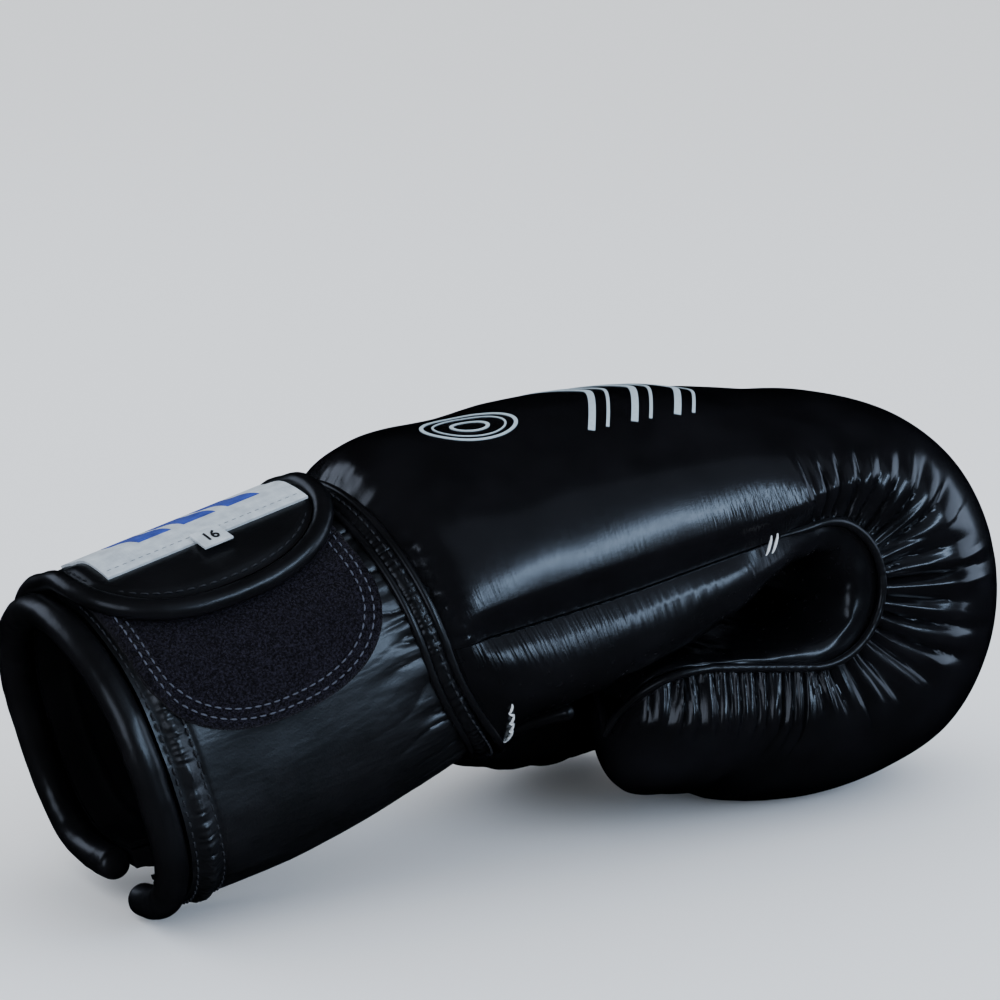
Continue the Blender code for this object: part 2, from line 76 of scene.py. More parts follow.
SECTIONS = np.array([
    # place   pad   near   far   crown   arch   palm
    (0.00, 0.620, 0.840, 0.840, 0.00, 1.00, 1.000),
    (0.05, 0.690, 0.880, 0.880, 0.00, 0.99, 0.910),
    (0.13, 0.732, 0.915, 0.910, 0.00, 0.97, 0.810),
    (0.30, 0.715, 0.965, 0.960, 0.00, 0.80, 0.730),
    (0.50, 0.695, 1.000, 0.985, 0.00, 0.56, 0.660),
    (0.65, 0.665, 1.000, 0.990, 0.00, 0.40, 0.590),
    (0.80, 0.622, 1.000, 0.990, 0.00, 0.26, 0.450),
    (0.92, 0.568, 1.000, 0.990, 0.00, 0.18, 0.330),
    (1.00, 0.520, 1.000, 0.990, 0.00, 0.15, 0.300),
    (1.06, 0.490, 1.000, 0.985, 0.00, 0.14, 0.300),
    (1.13, 0.492, 1.000, 0.980, 0.00, 0.14, 0.300),
    (1.21, 0.570, 0.995, 0.970, 0.00, 0.14, 0.300),
    (1.31, 0.705, 0.990, 0.950, 0.00, 0.14, 0.300),
    (1.41, 0.835, 0.985, 0.930, 0.00, 0.14, 0.300),
    (1.51, 0.940, 0.980, 0.900, 0.02, 0.14, 0.300),
    (1.62, 1.000, 0.975, 0.870, 0.05, 0.14, 0.290),
    (1.71, 0.988, 0.970, 0.840, 0.09, 0.14, 0.280),
    (1.79, 0.888, 0.965, 0.800, 0.13, 0.15, 0.265),
    (1.91, 0.759, 0.955, 0.760, 0.16, 0.16, 0.240),
    (2.00, 0.707, 0.950, 0.720, 0.17, 0.18, 0.210),
    (2.35, 0.665, 0.940, 0.520, 0.12, 0.24, 0.100),
    (2.70, 0.655, 0.930, 0.260, -0.20, 0.26, 0.065),
    (3.00, 0.650, 0.920, 0.040, -0.44, 0.26, 0.065),
])


def smooth(table, column, at):
    """Cubic curve through one column of a table, with slopes taken from the rows on each side."""
    x, y = table[:, 0], table[:, column]
    slope = np.gradient(y, x)
    at = np.clip(at, x[0], x[-1])
    i = np.clip(np.searchsorted(x, at, side="right") - 1, 0, len(x) - 2)
    h = x[i + 1] - x[i]
    t = (at - x[i]) / h
    return ((1 + 2 * t) * (1 - t) ** 2 * y[i] + t * (1 - t) ** 2 * h * slope[i]
            + t * t * (3 - 2 * t) * y[i + 1] + t * t * (t - 1) * h * slope[i + 1])


def ramp(value, low, high):
    """0 below low, 1 above high, with a smooth step between."""
    t = np.clip((value - low) / (high - low), 0, 1)
    return t * t * (3 - 2 * t)


def power(value, exponent):
    """A number raised to an exponent, keeping its sign."""
    return np.sign(value) * np.abs(value) ** exponent


def mottle(x, y, seed):
    """Smooth random height: seeded values at the whole numbers of x and y, smooth steps between."""
    table = np.random.default_rng(seed).uniform(-1, 1, (97, 97))
    x, y = np.broadcast_arrays(np.asarray(x, float), np.asarray(y, float))
    i, j = np.floor(x).astype(int), np.floor(y).astype(int)
    s, t = x - i, y - j
    s, t = s * s * (3 - 2 * s), t * t * (3 - 2 * t)
    i, j, i2, j2 = i % 97, j % 97, (i + 1) % 97, (j + 1) % 97
    near = table[i, j] * (1 - s) + table[i2, j] * s
    far = table[i, j2] * (1 - s) + table[i2, j2] * s
    return near * (1 - t) + far * t


def seam_path(u):
    """Seam line in the XZ plane, seen from the side: straight up the back, half a turn round the
    curl, straight under the roll. Gives point, heading and outward direction."""
    turn = BACK_SLOPE - np.clip(u - 1, 0, 1) * (pi + BACK_SLOPE + ROLL_SLOPE)
    heading = np.stack([np.cos(turn), np.sin(turn)], -1)
    outward = np.stack([-np.sin(turn), np.cos(turn)], -1)
    along = np.minimum(u - 1, 0) * BACK_RUN + np.maximum(u - 2, 0) * ROLL_RUN
    centre = np.array([CURL_CENTRE_X, CURL_CENTRE_Z])
    return centre + CURL_RADIUS * outward + along[..., None] * heading, heading, outward


def place(u, side, out):
    """Point beside and outside the seam path; near the wrist it leans back and under the palm."""
    point, heading, outward = seam_path(u)
    slant = -WRIST_SLANT * out + np.where(out < 0, HEEL_REACH * out * out, 0)
    slant = slant * (1 - ramp(u, 0.0, 0.55))
    flat = point + out[..., None] * outward + slant[..., None] * heading
    return np.stack([flat[..., 0], side, flat[..., 1]], -1)


def lay_down(points):
    """Lean toward the thumb side about the X axis, press flat below the surface, move the middle
    of the flattened patch to the origin."""
    x, y, z = np.moveaxis(np.asarray(points, float), -1, 0)
    side = y * cos(LEAN) + (z - CURL_CENTRE_Z) * sin(LEAN)
    height = z * cos(LEAN) - y * sin(LEAN) - SINK
    return np.stack([x - REST_X, side - REST_Y, np.maximum(height, 0)], -1)


def section(u):
    """Lip and crown heights, near edge, crown and far edge across, arch and palm depths at u.
    Past NOSE_START the width, the height and the lip close like superellipses to a round tip."""
    t = np.clip((u - NOSE_START) / (3 - NOSE_START), 0, 1)
    wide, tall, drop = (1 - t ** 3) ** (1 / 3), (1 - t ** 2.4) ** (1 / 2.4), 1 - (1 - t ** 4) ** 0.25
    pad, near, far, crown_at = (smooth(SECTIONS, i, u) for i in (1, 2, 3, 4))
    lip = PAD_DEPTH * pad * 0.5 * drop
    crown = PAD_DEPTH * pad * 0.5 * (1 + tall)
    middle = HALF_WIDTH * crown_at
    near_edge = middle - (HALF_WIDTH * near + middle) * wide
    far_edge = middle + (HALF_WIDTH * far - middle) * wide
    return (lip, crown, near_edge, middle, far_edge,
            ARCH_DEPTH * smooth(SECTIONS, 5, u), PALM_DEPTH * smooth(SECTIONS, 6, u))


def across(u, c, inset=0.0):
    """Sideways place of a point whose share from the crown to an edge is c, near edge at 1."""
    _, _, near, middle, far, _, _ = section(u)
    return middle + np.where(c > 0, near + inset - middle, middle - far + inset) * c


def pleat_phase(u):
    """Number of gathers passed at u: CURL_PLEATS to the unit round the curl, fewer on the roll."""
    at = np.linspace(0.6, 3.0, 600)
    rate = CURL_PLEATS - (CURL_PLEATS - ROLL_PLEATS) * ramp(at, 1.75, 2.15)
    passed = np.concatenate([[0], np.cumsum(0.5 * (rate[1:] + rate[:-1]) * np.diff(at))])
    return np.interp(u, at, passed)


def drawn_in(u):
    """Depth of the seam inside the widest line of the padding, less where the roll closes."""
    _, _, near, middle, _, _, _ = section(u)
    depth = SEAM_TUCK + (CURL_TUCK - SEAM_TUCK) * ramp(u, 0.92, 1.25)
    return np.minimum(depth * ramp(u, 0.04, 0.10), 0.16 * (middle - near))


def folds(angle, exponent):
    """Row of valleys, 1 deep at each half turn of the angle: one less a power of a rectified sine."""
    return 1 - np.abs(np.sin(angle)) ** exponent


def puckers(u, edge, shift=0.0):
    """Small valleys that wander along the side seam."""
    return folds(pi * u * BACK_RUN / PUCKER_PITCH + shift + 1.4 * mottle(u * 24, edge * 30, 3), 0.6)


def shell_skin(u, v):
    """Outer skin of the shell, v from the near seam (0) over the crown to the far seam (1).

    Superellipse sections, less the gathers: each is a valley one minus a power of a rectified
    sine, deepest beside the seam, with its own depth and length; then the tuck and its puckers."""
    lip, crown = section(u)[:2]
    angle = pi * v
    bulge = 2 / (2 + (SHELL_FULLNESS - 2) * ramp(u, 0, 0.4) * (1 - ramp(u, 1.5, 1.9)))
    c, s = power(np.cos(angle), bulge), np.abs(np.sin(angle)) ** bulge
    edge = np.minimum(v, 1 - v)
    half = (v > 0.5) * 40

    phase = pleat_phase(u) + 0.34 * mottle(u * 11, edge * 5 + half, 1) + 0.5 * half
    valley = np.round(phase).astype(int) % 97
    draw = np.random.default_rng(7).uniform(0, 1, (3, 97))
    depth = 0.50 + 0.50 * draw[0][valley]
    length = 0.19 + 0.17 * draw[1][valley] ** 2
    crease = folds(pi * phase, 0.55 + 3.0 * edge)
    reach = ramp(u, 0.90, 1.12) * ramp(2.99 - u, 0.0, 0.10)
    band = ramp(edge, 0.0, 0.014) * (1 - ramp(edge, 0.03, length))
    dip = PLEAT_DEPTH * reach * depth * band * (crease - 0.22)

    second = folds(pi * (2 * phase + 0.37 + 0.5 * mottle(u * 23, edge * 9 + half, 2)), 0.6)
    dip += 0.20 * PLEAT_DEPTH * reach * second * ramp(edge, 0, 0.02) * (1 - ramp(edge, 0.03, 0.15))

    reach = ramp(u, 0.04, 0.10) * (1 - ramp(u, 0.93, 1.02))
    dip += PUCKER_DEPTH * puckers(u, edge) * reach * ramp(edge, 0, 0.004) * (1 - ramp(edge, 0.008, 0.045))
    dip += drawn_in(u) * (1 - ramp(edge, 0.0, 0.050 + 0.09 * ramp(u, 0.92, 1.25)))

    start = folds(34 * pi * v + 1.6 * mottle(v * 30, u * 20, 4), 0.7)
    dip += 0.0011 * start * (1 - ramp(u, 0.012, 0.085))

    dip += SWELL * mottle(u * 8, v * 7, 8) * ramp(edge, 0.0, 0.1)

    out = lip + (crown - lip) * s - dip * np.sin(angle)
    return place(u, across(u, c) + dip * np.cos(angle), out)


def new_piece(name, verts, faces, material, skin=None):
    """Mesh object at the origin from arrays of points and faces, shaded smooth. The skin, where
    given, keeps for each point how far along and across the leather it is, and its creasing."""
    mesh = bpy.data.meshes.new(name)
    mesh.from_pydata(np.asarray(verts, float).tolist(), [], faces)
    if skin is not None:
        layer = mesh.attributes.new("skin", "FLOAT_VECTOR", "POINT")
        layer.data.foreach_set("vector", np.ascontiguousarray(skin, np.float32).ravel())
    work = bmesh.new()
    work.from_mesh(mesh)
    bmesh.ops.remove_doubles(work, verts=work.verts, dist=1e-7)
    bmesh.ops.recalc_face_normals(work, faces=work.faces)
    work.to_mesh(mesh)
    work.free()
    mesh.shade_smooth()
    mesh.set_sharp_from_angle(angle=radians(50))
    mesh.materials.append(material)
    piece = bpy.data.objects.new(name, mesh)
    bpy.context.scene.collection.objects.link(piece)
    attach(piece, "root")
    return piece


def ring_faces(m, k, closed=False):
    """Quads between m rings of k points each."""
    i = np.arange(m if closed else m - 1)[:, None]
    j = np.arange(k)[None]
    a, b = i * k + j, i * k + (j + 1) % k
    c, d = ((i + 1) % m) * k + (j + 1) % k, ((i + 1) % m) * k + j
    return np.stack(np.broadcast_arrays(a, b, c, d), -1).reshape(-1, 4).tolist()


def loft(rings, closed=False):
    """Points and faces of a skin through rings, with a face over each end unless it is closed."""
    m, k = rings.shape[:2]
    faces = ring_faces(m, k, closed)
    if not closed:
        faces += [list(range(k - 1, -1, -1)), list(range((m - 1) * k, m * k))]
    return rings.reshape(-1, 3), faces


def hex_linear(code):
    """sRGB hex colour to linear red, green, blue and alpha."""
    shares = [int(code[i:i + 2], 16) / 255 for i in (1, 3, 5)]
    return tuple(s / 12.92 if s <= 0.04045 else ((s + 0.055) / 1.055) ** 2.4 for s in shares) + (1,)


def feed(tree, target, inputs):
    """Set the inputs of a node to values, or link them to the outputs of others."""
    for key, value in dict(inputs).items():
        if isinstance(value, bpy.types.NodeSocket):
            tree.links.new(value, target.inputs[key])
        else:
            target.inputs[key].default_value = value


def node(tree, kind, inputs=(), **settings):
    """Add a node with its settings and inputs."""
    made = tree.nodes.new(kind)
    for key, value in settings.items():
        setattr(made, key, value)
    feed(tree, made, inputs)
    return made


def new_material(name):
    """Material, its node tree and shader, and the place on the object in metres."""
    material = bpy.data.materials.new(name)
    material.use_nodes = True
    tree = material.node_tree
    where = node(tree, "ShaderNodeTexCoord").outputs["Object"]
    return material, tree, tree.nodes["Principled BSDF"], where


def two_tones(tree, factor, dark, light, low=0.0, high=1.0):
    """Colour that goes from dark to light as a factor goes from low to high."""
    tones = node(tree, "ShaderNodeValToRGB", {"Fac": factor.outputs["Fac"]})
    first, last = tones.color_ramp.elements
    first.position, last.position = low, high
    first.color, last.color = dark, light
    return tones.outputs["Color"]


def leather(name, dark, light, roughness, grain_mm, grain_depth, specular=0.5, creased=False):
    """Top-coated cowhide: near-black with slow changes of tone and gloss, a pebble of pores and
    fine creases. The finish gives long soft highlights that break up where the skin is creased."""
    material, tree, shader, where = new_material(name)
    tone = node(tree, "ShaderNodeTexNoise", {"Vector": where, "Scale": 1 / 0.018, "Detail": 2})
    rub = node(tree, "ShaderNodeTexNoise", {"Vector": where, "Scale": 1 / 0.0025, "Detail": 2})
    gloss = node(tree, "ShaderNodeMapRange", {"Value": rub.outputs["Fac"], "From Min": 0.3,
                                               "From Max": 0.7, "To Min": roughness - 0.015,
                                               "To Max": roughness + 0.025})
    pores = node(tree, "ShaderNodeTexVoronoi", {"Vector": where, "Scale": 1000 / grain_mm,
                                                 "Randomness": 1.0})
    fine = node(tree, "ShaderNodeTexNoise", {"Vector": where, "Scale": 1000 / (2.2 * grain_mm),
                                              "Detail": 3, "Roughness": 0.65})
    first = node(tree, "ShaderNodeBump", {"Height": pores.outputs["Distance"], "Strength": 0.6,
                                           "Distance": grain_depth})
    second = node(tree, "ShaderNodeBump", {"Height": fine.outputs["Fac"], "Strength": 0.7,
                                            "Distance": grain_depth * 2.2,
                                            "Normal": first.outputs["Normal"]})
    normal = second.outputs["Normal"]
    if creased:
        skin = node(tree, "ShaderNodeAttribute", attribute_name="skin").outputs["Vector"]
        drawn = node(tree, "ShaderNodeVectorMath", {0: skin, 1: (1 / 0.0011, 1 / 0.012, 0)},
                     operation="MULTIPLY")
        hairs = node(tree, "ShaderNodeTexNoise", {"Vector": drawn.outputs["Vector"], "Scale": 1.0,
                                                   "Detail": 2, "Distortion": 0.5})
        share = node(tree, "ShaderNodeSeparateXYZ", {"Vector": skin}).outputs["Z"]
        third = node(tree, "ShaderNodeBump", {"Height": hairs.outputs["Fac"], "Strength": share,
                                               "Distance": 0.0004, "Normal": normal})
        normal = third.outputs["Normal"]
    colour = two_tones(tree, tone, hex_linear(dark), hex_linear(light), 0.35, 0.75)
    feed(tree, shader, {"Base Color": colour, "Roughness": gloss.outputs["Result"],
                        "Normal": normal, "Specular IOR Level": specular})
    return material


def toward_tip(first, last, count):
    """Values of u that crowd toward the roll's tip: what is left to it falls as a cube."""
    return 3 - (3 - NOSE_START) * np.linspace(first, last, count) ** 3 / 3


shell_leather = leather("coated_cowhide", "#09090B", "#0F0F12", 0.20, 0.6, 0.000010, creased=True)
u = np.concatenate([np.linspace(0, 1, 150)[:-1], np.linspace(1, 2.9, 430)[:-1],
                    toward_tip(0.75, 0.02, 46)])
t = np.linspace(0, 1, 112)
v = t - 0.07 * np.sin(2 * pi * t)
outer = shell_skin(*np.meshgrid(u, v, indexing="ij"))
lip, crown, near, middle, far, arch, _ = section(u)
share = 0.97 * np.sin(np.linspace(-pi / 2, pi / 2, 22))
wall = np.minimum(SIDE_WALL, 0.2 * (far - near))
span = np.where(share > 0, (middle - near - wall)[:, None], (far - middle - wall)[:, None])
rise = np.minimum(arch, 0.6 * (crown - lip))[:, None] * (1 - np.abs(share) ** 4)
inner = place(np.repeat(u[:, None], len(share), 1), middle[:, None] - span * share, lip[:, None] + rise)
edge = np.minimum(v, 1 - v)
drawn = (1 - ramp(edge, 0.05, 0.17)) * (0.15 + 0.65 * ramp(u, 0.60, 0.90)[:, None])
drawn = drawn * (1 - 0.7 * ramp(u, 1.05, 1.3)[:, None]) + 0.3 * (1 - ramp(edge, 0.01, 0.05))
along, over = np.broadcast_arrays(BACK_RUN * u[:, None], SHELL_GIRTH * v)
skin = np.concatenate([np.stack([along, over, drawn], -1), np.zeros(inner.shape)], 1)
shell = new_piece("padded_shell", *loft(lay_down(np.concatenate([outer, inner], 1))), shell_leather,
                  skin=skin.reshape(-1, 3))
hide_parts("shell")


# Palm: one panel of softer leather over thin foam, sewn to the shell along the side seam. It swells
# out just below the seam, lines the inside of the curl, and creases across where the hand closes.
LEATHER = 0.0025
SEAM_GAP = 0.0004
WRIST_FULLNESS = 2.6
PALM_FULLNESS = 4.3
PALM_SWELL = 0.0028
PALM_PUCKER_DEPTH = 0.00014
PALM_GIRTH = 0.12


def palm_skin(u, v, inset=0.0, relief=0.0):
    """Skin of the palm, v from the near seam to the far one below it: superellipse sections, with
    a swelling beside each seam and small puckers in it, scaled by relief."""
    lip, palm = section(u)[0], section(u)[6]
    angle = pi * v
    bulge = 2 / (WRIST_FULLNESS + (PALM_FULLNESS - WRIST_FULLNESS) * ramp(u, 0, 0.3))
    c, s = power(np.cos(angle), bulge), np.abs(np.sin(angle)) ** bulge
    edge = np.minimum(v, 1 - v)
    back = 1 - ramp(u, 0.70, 1.00)
    swell = np.sin(pi / 2 * np.minimum(s / 0.42, 1)) * (1 - ramp(s, 0.50, 1.0)) * back * ramp(u, 0.0, 0.10)
    swell = PALM_SWELL * relief * swell
    swell = swell - drawn_in(u) * relief * np.maximum(0.3 * (1 - ramp(s, 0.0, 0.10)), 1 - back)
    dip = PALM_PUCKER_DEPTH * relief * back * puckers(u, edge, 0.8)
    swell = swell - dip * ramp(s, 0.01, 0.1) * (1 - ramp(s, 0.16, 0.5))
    swell = swell + 0.0004 * relief * mottle(u * 9, v * 12, 11) * ramp(s, 0.05, 0.3)
    side = across(u, c, inset + 2 * SEAM_GAP) - swell * np.sign(np.cos(angle))
    out = lip - SEAM_GAP - np.maximum(palm - SEAM_GAP - inset, SEAM_GAP) * s
    out = out + relief * 0.0006 * mottle(u * 17, v * 8, 12) * s
    return place(u, side, out)


def slab(top, bottom):
    """Closed sheet between two grids of points of the same shape."""
    m, k = top.shape[:2]
    rings = np.concatenate([top, bottom[:, ::-1]], 1)
    n = 2 * k
    faces = ring_faces(m, n)
    j = np.arange(k - 1)
    for i in (0, m - 1):
        ends = np.stack([i * n + j, i * n + j + 1, i * n + n - 2 - j, i * n + n - 1 - j], -1)
        faces += ends.tolist()
    return rings.reshape(-1, 3), faces


palm_leather = leather("softer_palm_leather", "#09090B", "#0E0E11", 0.25, 0.7, 0.000012, creased=True)
u = np.concatenate([np.linspace(0, 1, 200)[:-1], np.linspace(1, 2, 90)[:-1],
                    np.linspace(2, 2.9, 50)[:-1], toward_tip(0.75, 0.3, 20)])
t = np.linspace(0, 1, 100)
grid = np.meshgrid(u, t - 0.09 * np.sin(2 * pi * t), indexing="ij")
drawn = (1 - ramp(np.minimum(grid[1], 1 - grid[1]), 0.02, 0.20)) * (1 - 0.75 * ramp(grid[0], 0.25, 0.6))
drawn = drawn * (1 - ramp(grid[0], 0.8, 1.0))
skin = np.stack([BACK_RUN * grid[0], PALM_GIRTH * grid[1], drawn], -1)
skin = np.concatenate([skin, skin[:, ::-1]], 1).reshape(-1, 3)
top = lay_down(palm_skin(*grid, relief=1.0))
under = lay_down(palm_skin(*grid, inset=LEATHER, relief=1.0))
palm = new_piece("palm_leather", *slab(top, under), palm_leather, skin=skin)
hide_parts("palm_panel")


# Thumb: a sock of the same leather over thick foam, sewn into the palm at its root and bent to lie
# beside the finger roll. A welt runs along its length where its two halves meet.
THUMB_RADIUS = 0.026
THUMB_END = 4.35
THUMB_TIP = 0.75            # length of the round end, in the table's places
THUMB_WELT = 0.0012
THUMB_LINE = np.array([
    # place  back  side   up    radius
    (0.0, 0.70, 0.48, 0.720, 0.88),
    (1.0, 0.61, 0.60, 0.590, 1.00),
    (2.0, 0.45, 0.76, 0.495, 1.02),
    (3.0, 0.27, 0.90, 0.450, 0.98),
    (4.0, 0.09, 1.04, 0.435, 0.90),
    (4.4, 0.01, 1.09, 0.435, 0.87),
])


def unit(vectors):
    """Vectors at a length of 1."""
    return vectors / np.linalg.norm(vectors, axis=-1, keepdims=True)


def full_turn(count):
    """Angles spread evenly over a full turn."""
    return np.arange(count) / count * 2 * pi


def frames(path, closed=False):
    """Unit tangent, normal and side of a path, carried along it with no twist, and closed if asked."""
    tangent = np.roll(path, -1, 0) - np.roll(path, 1, 0) if closed else np.gradient(path, axis=0)
    tangent = unit(tangent)
    normal = np.empty_like(tangent)
    start = np.array([0.0, 0.0, 1.0]) if abs(tangent[0, 2]) < 0.9 else np.array([1.0, 0.0, 0.0])
    for i, heading in enumerate(tangent):
        start = start - heading * (start @ heading)
        start = start / np.linalg.norm(start)
        normal[i] = start
    side = np.cross(tangent, normal)
    if closed:
        first, last = normal[0], normal[-1] - tangent[0] * (normal[-1] @ tangent[0])
        twist = np.arctan2(np.cross(last, first) @ tangent[0], last @ first)
        turn = (np.arange(len(path)) / len(path) * twist)[:, None]
        normal, side = (normal * np.cos(turn) + side * np.sin(turn),
                        side * np.cos(turn) - normal * np.sin(turn))
    return tangent, normal, side


def tube(path, radius, sides, closed=False):
    """Rings round a path: radius may be one number, one for each ring, or one for each point."""
    path = np.asarray(path, float)
    _, normal, side = frames(path, closed)
    angle = full_turn(sides)
    ring = normal[:, None] * np.cos(angle)[:, None] + side[:, None] * np.sin(angle)[:, None]
    radius = np.asarray(radius, float)
    if radius.ndim < 2:
        radius = np.broadcast_to(radius, (len(path),))[:, None]
    return path[:, None] + ring * radius[..., None]


def above_palm(points):
    """Height of points over the palm's skin, measured square to the seam path's back run; what is
    in the hand's hollow is above 0."""
    turn = BACK_SLOPE
    x, z = points[..., 0] - CURL_CENTRE_X, points[..., 2] - CURL_CENTRE_Z
    along = x * cos(turn) + z * sin(turn)
    out = z * cos(turn) - x * sin(turn) - CURL_RADIUS
    at = np.clip(1 + along / BACK_RUN, 0, 1.0)
    lip, _, near, middle, far, _, palm = section(at)
    c = np.clip(np.abs(points[..., 1] - middle) / np.maximum(far - middle, 0.01), 0, 1)
    full = WRIST_FULLNESS + (PALM_FULLNESS - WRIST_FULLNESS) * ramp(at, 0, 0.3)
    depth = (1 - c ** full) ** (1 / full)
    return out - (lip - palm * depth)


count, sides = 260, 96
t = THUMB_END * np.sin(np.linspace(0, pi / 2, count)) ** 0.9
back, side, up, wide = (smooth(THUMB_LINE, i, t) for i in (1, 2, 3, 4))
path = np.stack([CURL_CENTRE_X - back * BACK_RUN, side * HALF_WIDTH, up * CURL_CENTRE_Z], -1)
t = t[:, None]
dome = np.clip((t - (THUMB_END - THUMB_TIP)) / THUMB_TIP, 0, 1)
angle = full_turn(sides)
relief = 0.0007 * mottle(t * 3, np.cos(angle) * 3 + 9, 21)
relief = relief + 0.0003 * mottle(t * 14, np.sin(angle) * 6 + 9, 22)
welt = THUMB_WELT * np.exp(-((angle - 2.2) / 0.05) ** 2) * (1 - dome)
round_end = np.sqrt(1 - 0.9999 * dome ** 2)
radius = (THUMB_RADIUS * wide)[:, None] * round_end + (relief + welt) * (1 - dome ** 4)
rings = tube(path, radius, sides)
covered = above_palm(rings) > 0.0004
first = np.where(covered.any(0), count - 1 - np.argmax(covered[::-1], axis=0), 0)
rows = first + (count - 1 - first) * np.linspace(0, 1, 200)[:, None]
low = np.floor(rows).astype(int)
high = np.minimum(low + 1, count - 1)
column = np.arange(sides)[None]
part = (rows - low)[..., None]
rings = rings[low, column] * (1 - part) + rings[high, column] * part
thumb = new_piece("padded_thumb", *loft(lay_down(rings)), shell_leather)
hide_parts("thumb")


# Piping: a thin rolled strip of leather caught in the seam between shell and palm. It stands proud
# round the curl and the roll and sinks into the groove of the side seam.
PIPING_RADIUS = 0.0016

binding_leather = leather("rolled_binding_leather", "#09090B", "#0F0F12", 0.30, 0.6, 0.00002)
tip = 3 - 0.3 * (1 - np.sin(np.linspace(0, pi / 2, 60)))
u = np.concatenate([np.linspace(0.02, 1, 120)[:-1], np.linspace(1, 2, 220)[:-1],
                    np.linspace(2, 2.7, 90)[:-1], tip])
lip, _, near, _, far, _, _ = section(u)
line = np.concatenate([place(u, near, lip), place(u, far, lip)[::-1][1:]])
both = np.concatenate([u, u[::-1][1:]])
outward = seam_path(both)[2]
outward = np.stack([outward[:, 0], np.zeros(len(outward)), outward[:, 1]], -1)
away = unit(np.cross(np.gradient(line, axis=0), outward))
proud = ramp(both, 0.86, 1.02)
radius = PIPING_RADIUS * (0.35 + 0.50 * proud) * (1 + 0.06 * mottle(both * 60, 0, 31))
sunk = drawn_in(both) + 0.0012 * (1 - proud)
path = lay_down(line + ((PIPING_RADIUS + SEAM_GAP) * proud - sunk)[:, None] * away)
piping = new_piece("seam_roll", *loft(tube(path, radius, 12)), binding_leather)
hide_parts("seam_piping")


# Stitches: waxed polyester thread, 0.7 to 0.9 mm thick, sewn by machine at 3 to 4 mm. White thread
# shows only at the two bar tacks of the side seam and at the heel of the palm.
STITCH_PITCH = 0.0034
STITCH_LENGTH = 0.0026
THREAD_RADIUS = 0.00035


def thread(name, code):
    """Twisted polyester: a soft satin, lower in the gaps between its strands, with painted shade that makes
    it darker there.
    """
    material, tree, shader, where = new_material(name)
    strands = node(tree, "ShaderNodeTexNoise", {"Vector": where, "Scale": 1 / 0.0007, "Detail": 3})
    # Painted shade: the dark tone goes where the strands' relief is low, in the gaps between them.
    light = hex_linear(code)
    dark = tuple(0.55 * c for c in light[:3]) + (1,)
    bump = node(tree, "ShaderNodeBump", {"Height": strands.outputs["Fac"], "Distance": 0.00008})
    feed(tree, shader, {"Base Color": two_tones(tree, strands, dark, light),
                        "Normal": bump.outputs["Normal"], "Roughness": 0.55})
    return material


def stitch_mesh(centres, along, up, length, radius):
    """Points and faces of many stitches: each is a rod of six sides whose radius follows a half
    sine, bent down at its two ends into the leather."""
    turns, steps = 6, 7
    along = unit(along)
    up = unit(up - along * (up * along).sum(1, keepdims=True))
    side = np.cross(along, up)
    s = np.linspace(0, 1, steps)
    thick = radius * np.sin(pi * (0.06 + 0.88 * s)) ** 0.5
    drop = -1.1 * radius * (2 * s - 1) ** 4
    angle = full_turn(turns)
    reach = (s - 0.5)[:, None] * length + 0 * angle
    lift = drop[:, None] + thick[:, None] * np.cos(angle)
    aside = thick[:, None] * np.sin(angle)
    verts = (centres[:, None, None] + reach[None, ..., None] * along[:, None, None]
             + lift[None, ..., None] * up[:, None, None] + aside[None, ..., None] * side[:, None, None])
    one = np.array(ring_faces(steps, turns))
    faces = (np.arange(len(centres))[:, None, None] * turns * steps + one).reshape(-1, 4).tolist()
    ends = np.array([list(range(turns - 1, -1, -1)), list(range((steps - 1) * turns, steps * turns))])
    faces += (np.arange(len(centres))[:, None, None] * turns * steps + ends).reshape(-1, turns).tolist()
    return verts.reshape(-1, 3), faces


def run_along(path):
    """Distance along a path at each of its points."""
    return np.concatenate([[0], np.cumsum(np.linalg.norm(np.diff(path, axis=0), axis=1))])


def sewn_line(path, up, pitch=STITCH_PITCH, length=STITCH_LENGTH, radius=THREAD_RADIUS):
    """Stitches at an even pitch along a path of points, with the direction of up at each point."""
    run = run_along(path)
    at = np.arange(pitch / 2, run[-1], pitch)
    centres = np.stack([np.interp(at, run, path[:, i]) for i in range(3)], -1)
    ups = np.stack([np.interp(at, run, up[:, i]) for i in range(3)], -1)
    ahead = np.stack([np.interp(at + 1e-4, run, path[:, i]) - np.interp(at - 1e-4, run, path[:, i])
                      for i in range(3)], -1)
    return stitch_mesh(centres, ahead, ups, length, radius)


def joined(parts):
    """One set of points and faces from several."""
    verts, faces, base = [], [], 0
    for points, quads in parts:
        verts.append(points)
        faces += [[base + i for i in face] for face in quads]
        base += len(points)
    return np.concatenate(verts), faces


black_thread = thread("black_thread", "#202228")
white_thread = thread("white_thread", "#DDE2E6")

TACK_PLACES = (0.842, 0.860)
tacks = []
for at in TACK_PLACES:
    ends = np.array([at - 0.012, at + 0.012])
    lip, _, near, _, _, _, _ = section(ends)
    pair = place(ends, near - np.array([0.0004, 0.0004]), lip + np.array([-0.0030, 0.0030]))
    tacks.append(stitch_mesh(lay_down(pair.mean(0, keepdims=True)), np.diff(pair, axis=0),
                             np.array([[0.0, -1.0, 0.2]]), 0.0064, 0.00045))
tack = new_piece("bar_tacks", *joined(tacks), white_thread)


